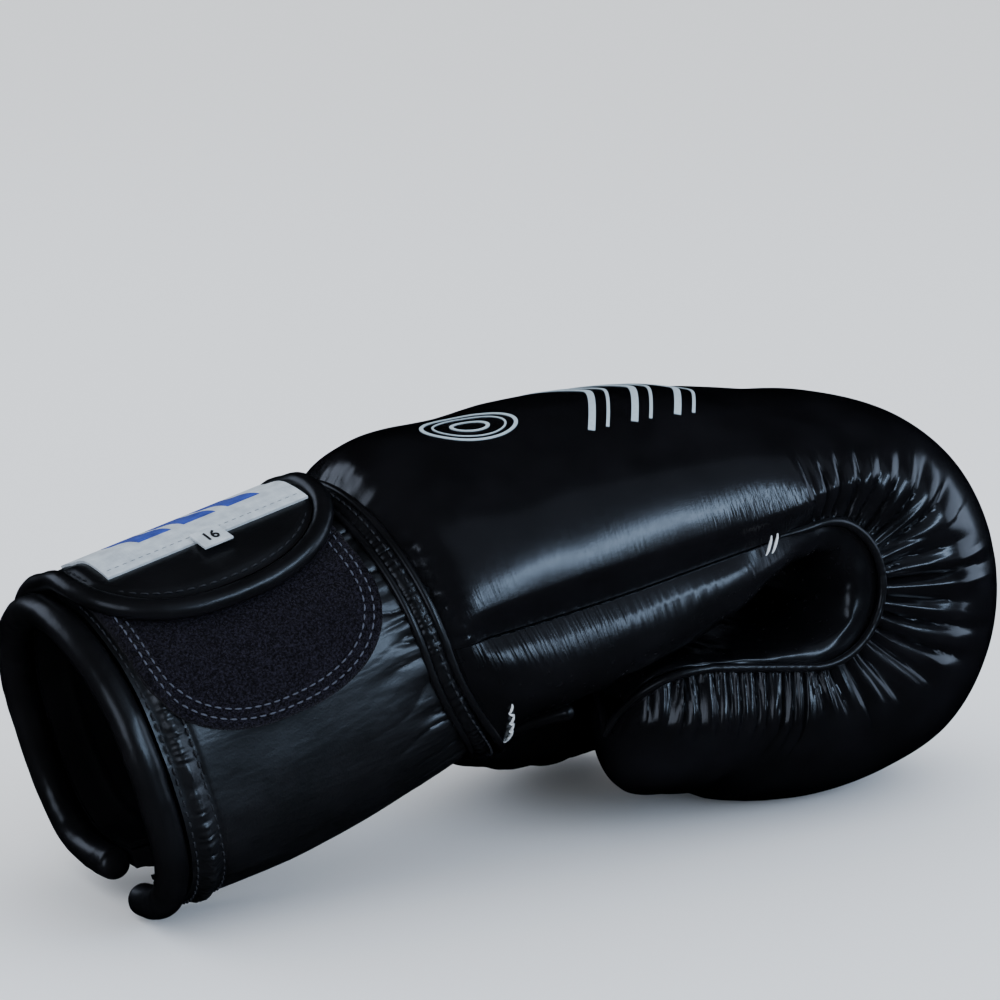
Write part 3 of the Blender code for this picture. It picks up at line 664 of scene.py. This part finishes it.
# Cuff: foam and cloth under smooth leather, slit on the palm side so that it can open. Behind the
# rim a gathered welt runs round it, and the leather wrinkles where it enters the wrist binding.
RIM_CENTRE_X = -0.2250
RIM_CENTRE_Z = 0.0538
RIM_HALF_WIDTH = 0.0495
RIM_HALF_HEIGHT = 0.0470
RIM_TILT = radians(14.0)
RIM_FULLNESS = 3.0
CUFF_WALL = 0.0055
CUFF_REACH = 0.090
LINING_WALL = 0.0015
BELLY = 0.0040
SLIT_WIDTH = 0.0035
SLIT_STEP = 0.0080
RIM_BINDING_RADIUS = 0.0050
WRIST_BINDING_RADIUS = 0.0036
WRIST_BINDING_STAND = 0.0012
JOINT_INSET = 0.0010


def wrist_line(phi, stand, back):
    """Line round the fist's wrist end, standing out from its skin and set back toward the cuff."""
    c, s = np.cos(phi), np.sin(phi)
    _, crown, _, _, far, _, palm = section(np.zeros_like(phi))
    shape = np.where(s > 0, 1.0, 2 / WRIST_FULLNESS)
    out = (np.where(s > 0, crown, palm) + stand) * power(s, shape)
    line = place(np.zeros_like(phi), (far + stand) * power(c, shape), out)
    slope = -WRIST_SLANT + 2 * HEEL_REACH * np.minimum(out, 0)
    line[..., 0] -= back * np.sqrt(1 + slope ** 2) * cos(BACK_SLOPE)
    line[..., 2] -= back * np.sqrt(1 + slope ** 2) * sin(BACK_SLOPE)
    return line


def cuff_skin(phi, k, h):
    """Cuff point: phi round from the palm side's slit over thumb side (0), top and near side, k
    from rim (0) to wrist joint (1), h outward. Ellipse above, superellipse below, ruled between."""
    phi, k, h = np.broadcast_arrays(phi, k, h)
    c, s = np.cos(phi), np.sin(phi)
    wrist = wrist_line(phi, -JOINT_INSET, 2 * (WRIST_BINDING_RADIUS + SEAM_GAP))
    up = np.array([-sin(RIM_TILT), 0, cos(RIM_TILT)])
    shape = np.where(s > 0, 1.0, 2 / RIM_FULLNESS)
    rim = np.array([RIM_CENTRE_X, 0, RIM_CENTRE_Z]) + RIM_HALF_HEIGHT * power(s, shape)[..., None] * up
    rim[..., 1] = RIM_HALF_WIDTH * power(c, shape)
    near_slit = ramp(phi, 1.5 * pi - 0.9, 1.5 * pi)
    far_slit = ramp(-phi, 0.5 * pi - 0.9, 0.5 * pi)
    step = SLIT_STEP * (0.45 * near_slit - 0.55 * far_slit) * (1 - ramp(k, 0.0, 0.9))
    h = h + step + BELLY * 4 * k * (1 - k) * np.maximum(-s, 0)
    out = np.stack([np.zeros_like(c), c / RIM_HALF_WIDTH, np.zeros_like(c)], -1)
    out = out + (s / RIM_HALF_HEIGHT)[..., None] * up
    return rim + k[..., None] * (wrist - rim) + h[..., None] * unit(out)


def on_cuff(phi, k, h):
    """Point of the cuff's skin, laid down."""
    return lay_down(cuff_skin(phi, k, h))


def round_cuff(count, ease=0.0):
    """Angles round the cuff from one side of its slit to the other, each end short by ease."""
    slit = 0.5 * SLIT_WIDTH / RIM_HALF_HEIGHT + ease
    return np.linspace(slit - pi / 2, 1.5 * pi - slit, count)


def cuff_relief(phi, k):
    """Height of the leather's forms: slow dents, a gathered welt behind the rim, and creases that
    run back from the wrist binding, each a valley of a rectified sine that wanders."""
    h = 0.0006 * mottle(phi * 2.4, k * 2.6, 41) + 0.0003 * mottle(phi * 7, k * 5, 42)
    welt = np.exp(-((k - 0.062) / 0.024) ** 2)
    gather = np.abs(np.sin(38 * phi + 2.2 * mottle(phi * 26, k * 14, 43))) ** 0.7
    h = h + welt * (0.0015 + 0.0007 * (gather - 0.6) + 0.0003 * mottle(phi * 60, k * 60, 44))
    h = h - 0.0006 * np.exp(-((k - 0.112) / 0.010) ** 2)
    crease = folds(15 * phi + 1.8 * mottle(phi * 9, k * 4, 45), 0.55)
    reach = ramp(k, 0.55 + 0.3 * mottle(phi * 6, 0, 46), 1.0)
    h = h - 0.0011 * crease * reach ** 1.3
    return h - 0.00012 * mottle(phi * 70, k * 22, 47) * (0.3 + 0.7 * reach)


cuff_leather = leather("cuff_leather_finish", "#0A0A0C", "#101014", 0.40, 0.8, 0.00003, specular=1.0)
t = np.linspace(0, 1, 96)
phi, k = np.meshgrid(round_cuff(620), t - 0.12 * np.sin(2 * pi * t) / (2 * pi), indexing="ij")
sheet = slab(on_cuff(phi, k, cuff_relief(phi, k)), on_cuff(phi, k, -CUFF_WALL))
cuff = new_piece("cuff_leather", *sheet, cuff_leather)
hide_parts("cuff")


# Lining: thin black coated cloth over the foam, sewn to the rim by a seam that runs parallel to it.
# It lies in slack folds that follow the wrist.
lining_skin = leather("lining_skin", "#08080A", "#0E0E11", 0.38, 1.0, 0.00004)
phi, k = np.meshgrid(round_cuff(300), np.linspace(0, 1, 70), indexing="ij")
fold = 0.0013 * mottle(phi * 3.0, k * 3 + 2 * np.sin(phi), 51) * ramp(k, 0.10, 0.30)
seam = 0.0010 * np.exp(-((k - 0.11) / 0.008) ** 2)
inside = -CUFF_WALL - 2 * SEAM_GAP
sheet = slab(on_cuff(phi, k, inside), on_cuff(phi, k, inside - LINING_WALL - fold - seam))
lining = new_piece("cuff_inside", *sheet, lining_skin)
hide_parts("cuff_lining")


# Rim binding: a strip of leather rolled over the edge of the cuff and its lining and sewn down. Its
# near end stands free at the slit as a small rolled tube.
def rounded(steps, share=0.98):
    """Share of its radius that a roll keeps at its ends, where the steps to the end fall below 1."""
    return np.sqrt(1 - share * np.clip(1 - steps, 0, 1) ** 2)


sides = 40
angle = full_turn(sides)
edge = cuff_skin(round_cuff(520), 0.0, -0.5 * CUFF_WALL)
ahead = (RIM_BINDING_RADIUS + SEAM_GAP) * np.array([cos(RIM_TILT), 0, sin(RIM_TILT)])
run = run_along(edge)[:, None]
wrinkle = 0.022 * mottle(run / 0.0035, angle * 1.2, 61) + 0.03 * mottle(run / 0.012, angle, 62)
dome = rounded(np.minimum(run, run[-1] - run) / (0.7 * RIM_BINDING_RADIUS), 0.99)
rings = tube(lay_down(edge - ahead), RIM_BINDING_RADIUS * dome * (1 + wrinkle), sides)
rim = new_piece("rolled_rim", *loft(rings), binding_leather)
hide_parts("rim_binding")


def cuff_row(phi, k, h, *stitch):
    """Row of stitches over the cuff's skin, square to it."""
    path = on_cuff(phi, k, h)
    return sewn_line(path, on_cuff(phi, k, h + 0.002) - path, *stitch)


phi = round_cuff(700, 0.03)
sewn = []
for k, h in ((0.016, 0.0004), (0.108, -0.0002)):
    sewn.append(cuff_row(phi, k, h))


# Wrist binding: a folded strip sewn over the joint of cuff and fist, with a thin cord along each
# edge and a row of stitches that gathers it.
def closed_roll(line, radius, sides):
    """Points and faces of a roll along a closed line."""
    return loft(tube(lay_down(line), radius, sides, closed=True), closed=True)


sides = 28
phi = full_turn(720)
behind = WRIST_BINDING_RADIUS + SEAM_GAP
gather = 0.07 * np.abs(np.sin(60 * phi + 2 * mottle(phi * 30, 0, 71)))[:, None]
gather = gather + 0.05 * mottle(phi[:, None] * 40, full_turn(sides) * 1.5, 72)
ring = wrist_line(phi, WRIST_BINDING_STAND - WRIST_BINDING_RADIUS, behind)
rolls = [closed_roll(ring, WRIST_BINDING_RADIUS * (0.95 + gather), sides),
         closed_roll(wrist_line(phi, 0.0008, 0.0011), 0.0013, 10),
         closed_roll(wrist_line(phi, -0.0006, 2 * WRIST_BINDING_RADIUS + 0.0006), 0.0012, 10)]
binding = new_piece("wrist_tape", *joined(rolls), binding_leather)
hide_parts("wrist_binding")

row = lay_down(wrist_line(phi, WRIST_BINDING_STAND + 0.0002, behind))
sewn.append(sewn_line(row, row - lay_down(wrist_line(phi, -0.002, behind)), 0.0032, 0.0024))


# Closure: a D of loop pile is sewn to the cuff with two rows of stitches. Over it lies the tongue of
# the strap: leather on thin foam, with a rolled edge sewn round it.
LAYER_GAP = 0.0005
LOOP_THICKNESS = 0.0018
STRAP_THICKNESS = 0.0045
EDGING_RADIUS = 0.0028
STRAP_ROOT = -0.35
STRAP_OUTLINE = (1.72, 2.27, 0.04, 0.95)    # phi of shoulder and tip, k of the two sides
LOOP_OUTLINE = (2.45, 3.12, 0.03, 0.95)
LOOP_TOP = 1.85


def d_outline(outline, inset, w):
    """Round end of a tongue, a distance inside its outline: phi on a superellipse of exponent 2.3
    between the two sides."""
    shoulder, tip, low, high = outline
    tip = tip - inset / RIM_HALF_HEIGHT
    low, high = low + inset / CUFF_REACH, high - inset / CUFF_REACH
    return shoulder + (tip - shoulder) * (1 - np.abs(2 * w - 1) ** 2.3) ** (1 / 2.3), low + (high - low) * w


def d_shape(start, outline, across_count, along_count):
    """Grids of phi and k over a tongue with a round end, and how far each point is from its rim."""
    w = 0.5 - 0.5 * np.cos(np.linspace(0, pi, across_count))
    end, k = d_outline(outline, 0, w)
    t = np.sin(np.linspace(0, pi / 2, along_count))[:, None]
    phi = start + t * (end - start)
    sideways = np.minimum(w, 1 - w) * (outline[3] - outline[2]) * CUFF_REACH
    return phi, np.broadcast_to(k, phi.shape), np.minimum(sideways, (end - phi) * RIM_HALF_HEIGHT)


def d_edge(start, outline, inset, end_count, side_count, skip=0.0):
    """phi and k along a tongue's edge, a distance inside its outline, from one side to the other."""
    w = 0.5 - 0.5 * np.cos(np.linspace(skip, pi - skip, end_count))
    phi, k = d_outline(outline, inset, w)
    run = np.linspace(start, outline[0], side_count)[:-1]
    return (np.concatenate([run, phi, run[::-1]]),
            np.concatenate([np.full(len(run), k[0]), k, np.full(len(run), k[-1])]))


def strap_height(phi):
    """Underside of the strap: on the cuff, and lifted where it lies over the loop patch."""
    return LAYER_GAP + (LOOP_THICKNESS + LAYER_GAP) * ramp(phi, LOOP_TOP - 0.45, LOOP_TOP - 0.14)


def pile(name, dark, light):
    """Brushed nylon loops: matt, with sheen. Each tuft is a speck of its own height; painted glints make it
    lighter where it stands high, painted shade darker in the hollows.
    """
    material, tree, shader, where = new_material(name)
    tufts = node(tree, "ShaderNodeTexNoise", {"Vector": where, "Scale": 1 / 0.0007, "Detail": 2,
                                               "Roughness": 0.8})
    bump = node(tree, "ShaderNodeBump", {"Height": tufts.outputs["Fac"], "Distance": 0.0008,
                                          "Strength": 0.8})
    # Painted glints and painted shade: the colour is lighter where the tufts stand high and darker in the
    # hollows between them.
    colour = two_tones(tree, tufts, hex_linear(dark), hex_linear(light), 0.42, 0.72)
    feed(tree, shader, {"Base Color": colour, "Normal": bump.outputs["Normal"], "Roughness": 0.95,
                        "Specular IOR Level": 0.05, "Sheen Weight": 0.03, "Sheen Roughness": 0.5})
    return material


loop_pile = pile("brushed_loop_pile", "#060508", "#201F29")
phi, k, rim_distance = d_shape(LOOP_TOP - 0.30, LOOP_OUTLINE, 170, 200)
edge = np.sqrt(np.clip(rim_distance / 0.0012, 0, 1))
tufts = 0.00022 * mottle(phi * 150, k * 290, 81) * edge
high = LAYER_GAP + LOOP_THICKNESS * (0.35 + 0.65 * edge) + tufts
base = 0.8 * cuff_relief(phi, k)
high = np.minimum(high, np.where(phi < LOOP_TOP, LAYER_GAP + 0.0006, 1.0)) + base
patch = new_piece("loop_pile", *slab(on_cuff(phi, k, high), on_cuff(phi, k, base + 0.0001)), loop_pile)
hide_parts("loop_patch")

patch_sewn = []
for inset in (0.0030, 0.0058):
    phi, k = d_edge(LOOP_TOP - 0.2, LOOP_OUTLINE, inset, 500, 60, skip=0.02)
    h = LAYER_GAP + LOOP_THICKNESS + 0.0002 + 0.8 * cuff_relief(phi, k)
    patch_sewn.append(cuff_row(phi, k, h, 0.0030, 0.0021, 0.00028))

blue_grey_thread = thread("blue_grey_thread", "#4A4F5E")
patch_sewing = new_piece("patch_stitches", *joined(patch_sewn), blue_grey_thread)

strap_leather = leather("strap_leather_finish", "#0A0A0C", "#101013", 0.34, 0.8, 0.00003)
phi, k, rim_distance = d_shape(STRAP_ROOT, STRAP_OUTLINE, 90, 260)
under = strap_height(phi)
thick = STRAP_THICKNESS * (0.72 + 0.28 * ramp(rim_distance, 0.0, 0.004))
thick = thick + 0.0003 * mottle(phi * 5, k * 4, 91)
sheet = slab(on_cuff(phi, k, under + thick), on_cuff(phi, k, under))
strap = new_piece("strap_leather", *sheet, strap_leather)
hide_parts("strap")


sides = 26
angle = full_turn(sides)
phi, k = d_edge(-0.2, STRAP_OUTLINE, -(EDGING_RADIUS + SEAM_GAP), 400, 160)
path = on_cuff(phi, k, strap_height(phi) + EDGING_RADIUS)
run = np.arange(len(path))[:, None]
wrinkle = 0.020 * mottle(run * 0.10, angle * 1.3, 92) + 0.004 * mottle(run * 0.4, angle * 2, 93)
dome = rounded(np.minimum(run, len(path) - 1 - run) / 6)
rings = tube(path, (EDGING_RADIUS + 0.0004) * (1 + wrinkle) * dome, sides)
edging = new_piece("strap_roll", *loft(rings), binding_leather)
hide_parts("strap_edging")

phi, k = d_edge(-0.2, STRAP_OUTLINE, 0.0016, 400, 160)
sewn.append(cuff_row(phi, k, strap_height(phi) + STRAP_THICKNESS * 0.86))


# Label and size tag: white woven satin, sewn to the strap with a row of small stitches. The label
# carries plain blue bars; the folded tag gives the weight in ounces.
LABEL_THICKNESS = 0.0008
LABEL_START = 1.25
LABEL_EDGE = 1.93
LABEL_LOW = 0.12
LABEL_HIGH = 0.92
WEAVE = 0.0001              # what a woven layer stands clear of the one below
BAR_PLACES = (0.26, 0.44, 0.62)
BAR_WIDTH = 0.13
TAG_WIDTH = 0.010
TAG_LENGTH = 0.008
TAG_THICKNESS = 0.0007
TAG_PLACE = 0.46
TAG_CURL = 0.0010
DIGIT_HEIGHT = 0.0052


def cloth(name, dark, light, pitch_mm, roughness, sheen):
    """Plain-weave cloth: two crossed sets of fine bands in its relief, and a soft mottled tone."""
    material, tree, shader, where = new_material(name)
    tone = node(tree, "ShaderNodeTexNoise", {"Vector": where, "Scale": 1 / 0.004, "Detail": 6})
    bands = []
    for direction in ("X", "Y"):
        wave = node(tree, "ShaderNodeTexWave", {"Vector": where, "Scale": 1000 / pitch_mm / 6.3,
                                                 "Distortion": 0.4}, bands_direction=direction)
        bands.append(wave.outputs["Fac"])
    both = node(tree, "ShaderNodeMath", {0: bands[0], 1: bands[1]}, operation="ADD")
    bump = node(tree, "ShaderNodeBump", {"Height": both.outputs["Value"], "Distance": 0.00006,
                                          "Strength": 0.7})
    colour = two_tones(tree, tone, hex_linear(dark), hex_linear(light), 0.30, 0.70)
    feed(tree, shader, {"Base Color": colour, "Normal": bump.outputs["Normal"],
                        "Roughness": roughness, "Sheen Weight": sheen, "Sheen Roughness": 0.4})
    return material


def strap_top(phi, k, lift):
    """Point over the strap's upper side."""
    return on_cuff(phi, k, strap_height(phi) + STRAP_THICKNESS + lift)


def label_patch(low_phi, high_phi, low_k, high_k, lift, thickness, slant=0.0):
    """Thin closed sheet over the strap between two angles and two places, its sides slanted in phi."""
    phi, k = np.meshgrid(np.linspace(low_phi, high_phi, 30), np.linspace(low_k, high_k, 60), indexing="ij")
    k = k + slant * (phi - low_phi)
    return slab(strap_top(phi, k, lift + thickness), strap_top(phi, k, lift))


def tag_lift(phi):
    """Height of the tag's underside over the strap; its free end curls up."""
    return LABEL_THICKNESS + LAYER_GAP + TAG_CURL * ((phi - tag_start) / (tag_end - tag_start)) ** 2


white_cloth = cloth("white_woven_label", "#98A2AA", "#B4BDC4", 0.5, 0.75, 0.03)
sheet = label_patch(LABEL_START, LABEL_EDGE, LABEL_LOW, LABEL_HIGH, WEAVE, LABEL_THICKNESS)
label = new_piece("woven_label", *sheet, white_cloth)
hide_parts("strap_label")

blue_cloth = cloth("blue_woven_bars", "#0C2C86", "#123AA6", 0.5, 0.8, 0.0)
bars = []
for low in BAR_PLACES:
    bars.append(label_patch(LABEL_START + 0.10, LABEL_EDGE - 0.22, low, low + BAR_WIDTH,
                            LABEL_THICKNESS + WEAVE, WEAVE, slant=0.16))
bars = new_piece("label_bars", *joined(bars), blue_cloth)

tag_start = LABEL_EDGE - 0.3 * TAG_LENGTH / RIM_HALF_HEIGHT
tag_end = tag_start + TAG_LENGTH / RIM_HALF_HEIGHT
phi, k = np.meshgrid(np.linspace(tag_start, tag_end, 24),
                     TAG_PLACE + np.linspace(0, TAG_WIDTH / CUFF_REACH, 30), indexing="ij")
sheet = slab(strap_top(phi, k, tag_lift(phi) + TAG_THICKNESS), strap_top(phi, k, tag_lift(phi)))
tag = new_piece("folded_size_tag", *sheet, white_cloth)
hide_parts("size_tag")

font = bpy.data.curves.new("size_digits", "FONT")
font.body = "16"
font.size = 1.0
font.align_x = "CENTER"
font.align_y = "CENTER"
font.offset = 0.02
font.extrude = 0.02
digits = bpy.data.objects.new("size_digits", font)
flat = bpy.data.meshes.new_from_object(digits)
points = np.empty(len(flat.vertices) * 3)
flat.vertices.foreach_get("co", points)
points = points.reshape(-1, 3) * DIGIT_HEIGHT
digit_faces = [list(p.vertices) for p in flat.polygons]
bpy.data.objects.remove(digits)
phi = 0.5 * (tag_start + tag_end) - points[:, 1] / RIM_HALF_HEIGHT
k = TAG_PLACE + (0.5 * TAG_WIDTH + points[:, 0]) / CUFF_REACH
on_tag = strap_top(phi, k, tag_lift(phi) + TAG_THICKNESS + WEAVE + points[:, 2])
ink = new_piece("size_number", on_tag, digit_faces, thread("black_woven_digits", "#17171C"))

k = np.linspace(LABEL_LOW + 0.01, LABEL_HIGH - 0.01, 300)
phi = np.full_like(k, LABEL_EDGE - 0.06)
row = strap_top(phi, k, LABEL_THICKNESS + WEAVE)
small = sewn_line(row, row - strap_top(phi, k, -0.002), 0.0026, 0.0019, 0.00018)
label_sewing = new_piece("label_stitches", *small, thread("grey_thread", "#7C858C"))

sewing = new_piece("black_stitches", *joined(sewn), black_thread)


# Heel of the palm: a small rolled end of leather and a short zigzag of white whip stitches close the
# joint between the palm and the wrist binding.
TAB_RADIUS = 0.0024
TAB_ENDS = np.array([(0.07, 0.44), (0.26, 0.36)])
TAB_RINGS = 60
WHIP_ENDS = np.array([(0.060, 0.15), (0.018, 0.42)])
WHIP_COUNT = 12

tab_u, tab_v = np.linspace(*TAB_ENDS, TAB_RINGS).T
path = lay_down(palm_skin(tab_u, tab_v, inset=-(TAB_RADIUS + SEAM_GAP)))
run = np.arange(TAB_RINGS)
dome = rounded(np.minimum(run, run[::-1]) / 6)
tab = new_piece("heel_tab", *loft(tube(path, TAB_RADIUS * dome, 20)), binding_leather)
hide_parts("palm_tab")

whip_u, whip_v = np.linspace(*WHIP_ENDS, WHIP_COUNT).T
line = lay_down(palm_skin(whip_u, whip_v, inset=-0.0008, relief=1.0))
deep = lay_down(palm_skin(whip_u, whip_v, inset=0.002, relief=1.0))
along = unit(np.gradient(line, axis=0))
side = unit(np.cross(along, line - deep))
swing = np.where(np.arange(WHIP_COUNT) % 2 == 0, 1.0, -1.0)[:, None]
zigzag = stitch_mesh(line, along + 0.6 * swing * side, line - deep, 0.0036, 0.00042)
whip = new_piece("whip_stitches", *zigzag, white_thread)


# Print on the back of the hand: pale ink laid on the leather, in three double chevrons and a set of
# rings. The ink is thin and slightly raised, and follows the padding.
INK_HEIGHT = 0.00016
CHEVRON_PLACES = (0.55, 0.67, 0.79)
RING_CENTRE = (0.34, 0.45)


def on_shell(u, v, lift):
    """Point over the shell's skin, lifted along its normal."""
    e = 2e-3
    here = shell_skin(u, v)
    normal = np.cross(shell_skin(u + e, v) - here, shell_skin(u, v + e) - here)
    normal = unit(normal)
    return here + lift * normal * np.sign(normal[..., 2:3] + 1e-9)


def ink_line(u, v, width, closed=False):
    """Ribbon of ink of one width along a line of places u, v on the shell."""
    here = on_shell(u, v, 0)
    along = np.roll(here, -1, 0) - np.roll(here, 1, 0) if closed else np.gradient(here, axis=0)
    up = on_shell(u, v, 1) - here
    side = 0.5 * width * unit(np.cross(along, up))
    ribbon = here[:, None] + np.linspace(-1, 1, 5)[None, :, None] * side[:, None]
    top = ribbon + INK_HEIGHT * up[:, None]
    bottom = ribbon - 0.0002 * up[:, None]
    if closed:
        return loft(lay_down(np.concatenate([top, bottom[:, ::-1]], 1)), closed=True)
    return slab(lay_down(top), lay_down(bottom))


pale_ink = thread("pale_printed_ink", "#B9CDD9")
marks = []
s = np.linspace(-1, 1, 161)
for start in CHEVRON_PLACES:
    for shift, width in ((0.0, 0.0022), (0.045, 0.0010)):
        u = start + shift + 0.16 * (1 - np.sqrt(s * s + 0.002))
        marks.append(ink_line(u, 0.5 + 0.17 * s, width))
s = full_turn(120)
for radius, width in ((0.013, 0.0012), (0.010, 0.0006), (0.005, 0.0012)):
    u = RING_CENTRE[0] + radius / BACK_RUN * np.cos(s)
    v = RING_CENTRE[1] + radius / SHELL_GIRTH * np.sin(s)
    marks.append(ink_line(u, v, width, closed=True))
marks = new_piece("back_print", *joined(marks), pale_ink)


# Stage: a pale studio sweep. A long narrow soft box in front draws the highlights; weaker ones fill
# from the front, the knuckles, the thumb side and the cuff. The camera has the photograph's angle.
FLOOR_RADIUS = 8.0
SWEEP_RADIUS = 1.5
SWEEP_WALL = 0.5
SWEEP_RINGS = 60
SWEEP_SIDES = 96


def plain_paint(name, code, roughness):
    """Matt paint of one colour."""
    material, tree, shader, _ = new_material(name)
    feed(tree, shader, {"Base Color": hex_linear(code), "Roughness": roughness})
    return material


def soft_box(name, power_watts, size_x, size_y, place_at, look_at, colour, roll=0.0):
    """Rectangular area light that faces a point, turned by roll in its own plane."""
    light = bpy.data.lights.new(name, "AREA")
    light.shape = "RECTANGLE"
    light.size = size_x
    light.size_y = size_y
    light.energy = power_watts
    light.color = hex_linear(colour)[:3]
    lamp = bpy.data.objects.new(name, light)
    lamp.location = place_at
    aim = (Vector(look_at) - Vector(place_at)).to_track_quat("-Z", "Y")
    lamp.rotation_euler = (aim @ Quaternion((0, 0, 1), roll)).to_euler()
    bpy.context.scene.collection.objects.link(lamp)
    return lamp


share, angle = np.meshgrid(np.linspace(0, 1, SWEEP_RINGS), full_turn(SWEEP_SIDES), indexing="ij")
bend = pi / 2 * np.clip((share - 0.6) / 0.25, 0, 1)
reach = 0.02 + FLOOR_RADIUS * np.minimum(share / 0.6, 1) + SWEEP_RADIUS * np.sin(bend)
height = SWEEP_RADIUS * (1 - np.cos(bend)) + SWEEP_WALL * np.clip((share - 0.85) / 0.15, 0, 1)
sweep = np.stack([reach * np.cos(angle), reach * np.sin(angle), height], -1)
middle = [list(range(SWEEP_SIDES - 1, -1, -1))]
mesh = bpy.data.meshes.new("studio_sweep")
mesh.from_pydata(sweep.reshape(-1, 3).tolist(), [], ring_faces(SWEEP_RINGS, SWEEP_SIDES) + middle)
mesh.shade_smooth()
mesh.materials.append(plain_paint("pale_matt_paint", "#F4F5F6", 0.9))
floor = bpy.data.objects.new("studio_sweep", mesh)
bpy.context.scene.collection.objects.link(floor)
floor.visible_glossy = False

soft_box("front_box", 10.5, 1.36, 0.22, (0.42, -1.38, 0.66), (-0.08, -0.05, 0.10), "#BFDCFF",
         roll=radians(28))
soft_box("front_fill", 4.0, 2.6, 2.2, (0.55, -1.70, 1.50), (-0.08, 0.0, 0.08), "#CFE2FF")
soft_box("knuckle_box", 6.0, 1.2, 0.8, (1.50, -0.35, 0.45), (0.0, 0.0, 0.07), "#C9DFFF")
soft_box("thumb_side_box", 6.0, 1.4, 0.9, (-1.15, 1.45, 0.80), (-0.05, 0.0, 0.07), "#D5E4FF")
soft_box("cuff_box", 4.0, 0.7, 0.8, (-1.50, -0.65, 0.30), (-0.2, 0.0, 0.05), "#D5E4FF")

world = bpy.data.worlds.new("studio_air")
world.use_nodes = True
world.node_tree.nodes["Background"].inputs["Color"].default_value = (0.93, 0.96, 1.0, 1)
world.node_tree.nodes["Background"].inputs["Strength"].default_value = 1.5
bpy.context.scene.world = world
world.cycles_visibility.glossy = False

VIEW_AZIMUTH = radians(-29.76)
VIEW_ELEVATION = radians(15.57)
VIEW_DISTANCE = 0.9745
VIEW_TARGET = Vector((-0.0996, -0.0110, 0.0625))
back = Vector((sin(VIEW_AZIMUTH) * cos(VIEW_ELEVATION), -cos(VIEW_AZIMUTH) * cos(VIEW_ELEVATION),
                   sin(VIEW_ELEVATION)))
lens = bpy.data.cameras.new("photo_view")
lens.lens = 110.15
lens.sensor_width = 36.0
lens.shift_y = 0.145
camera = bpy.data.objects.new("photo_view", lens)
camera.location = VIEW_TARGET + VIEW_DISTANCE * back
camera.rotation_euler = (-back).to_track_quat("-Z", "Y").to_euler()
bpy.context.scene.collection.objects.link(camera)
bpy.context.scene.camera = camera
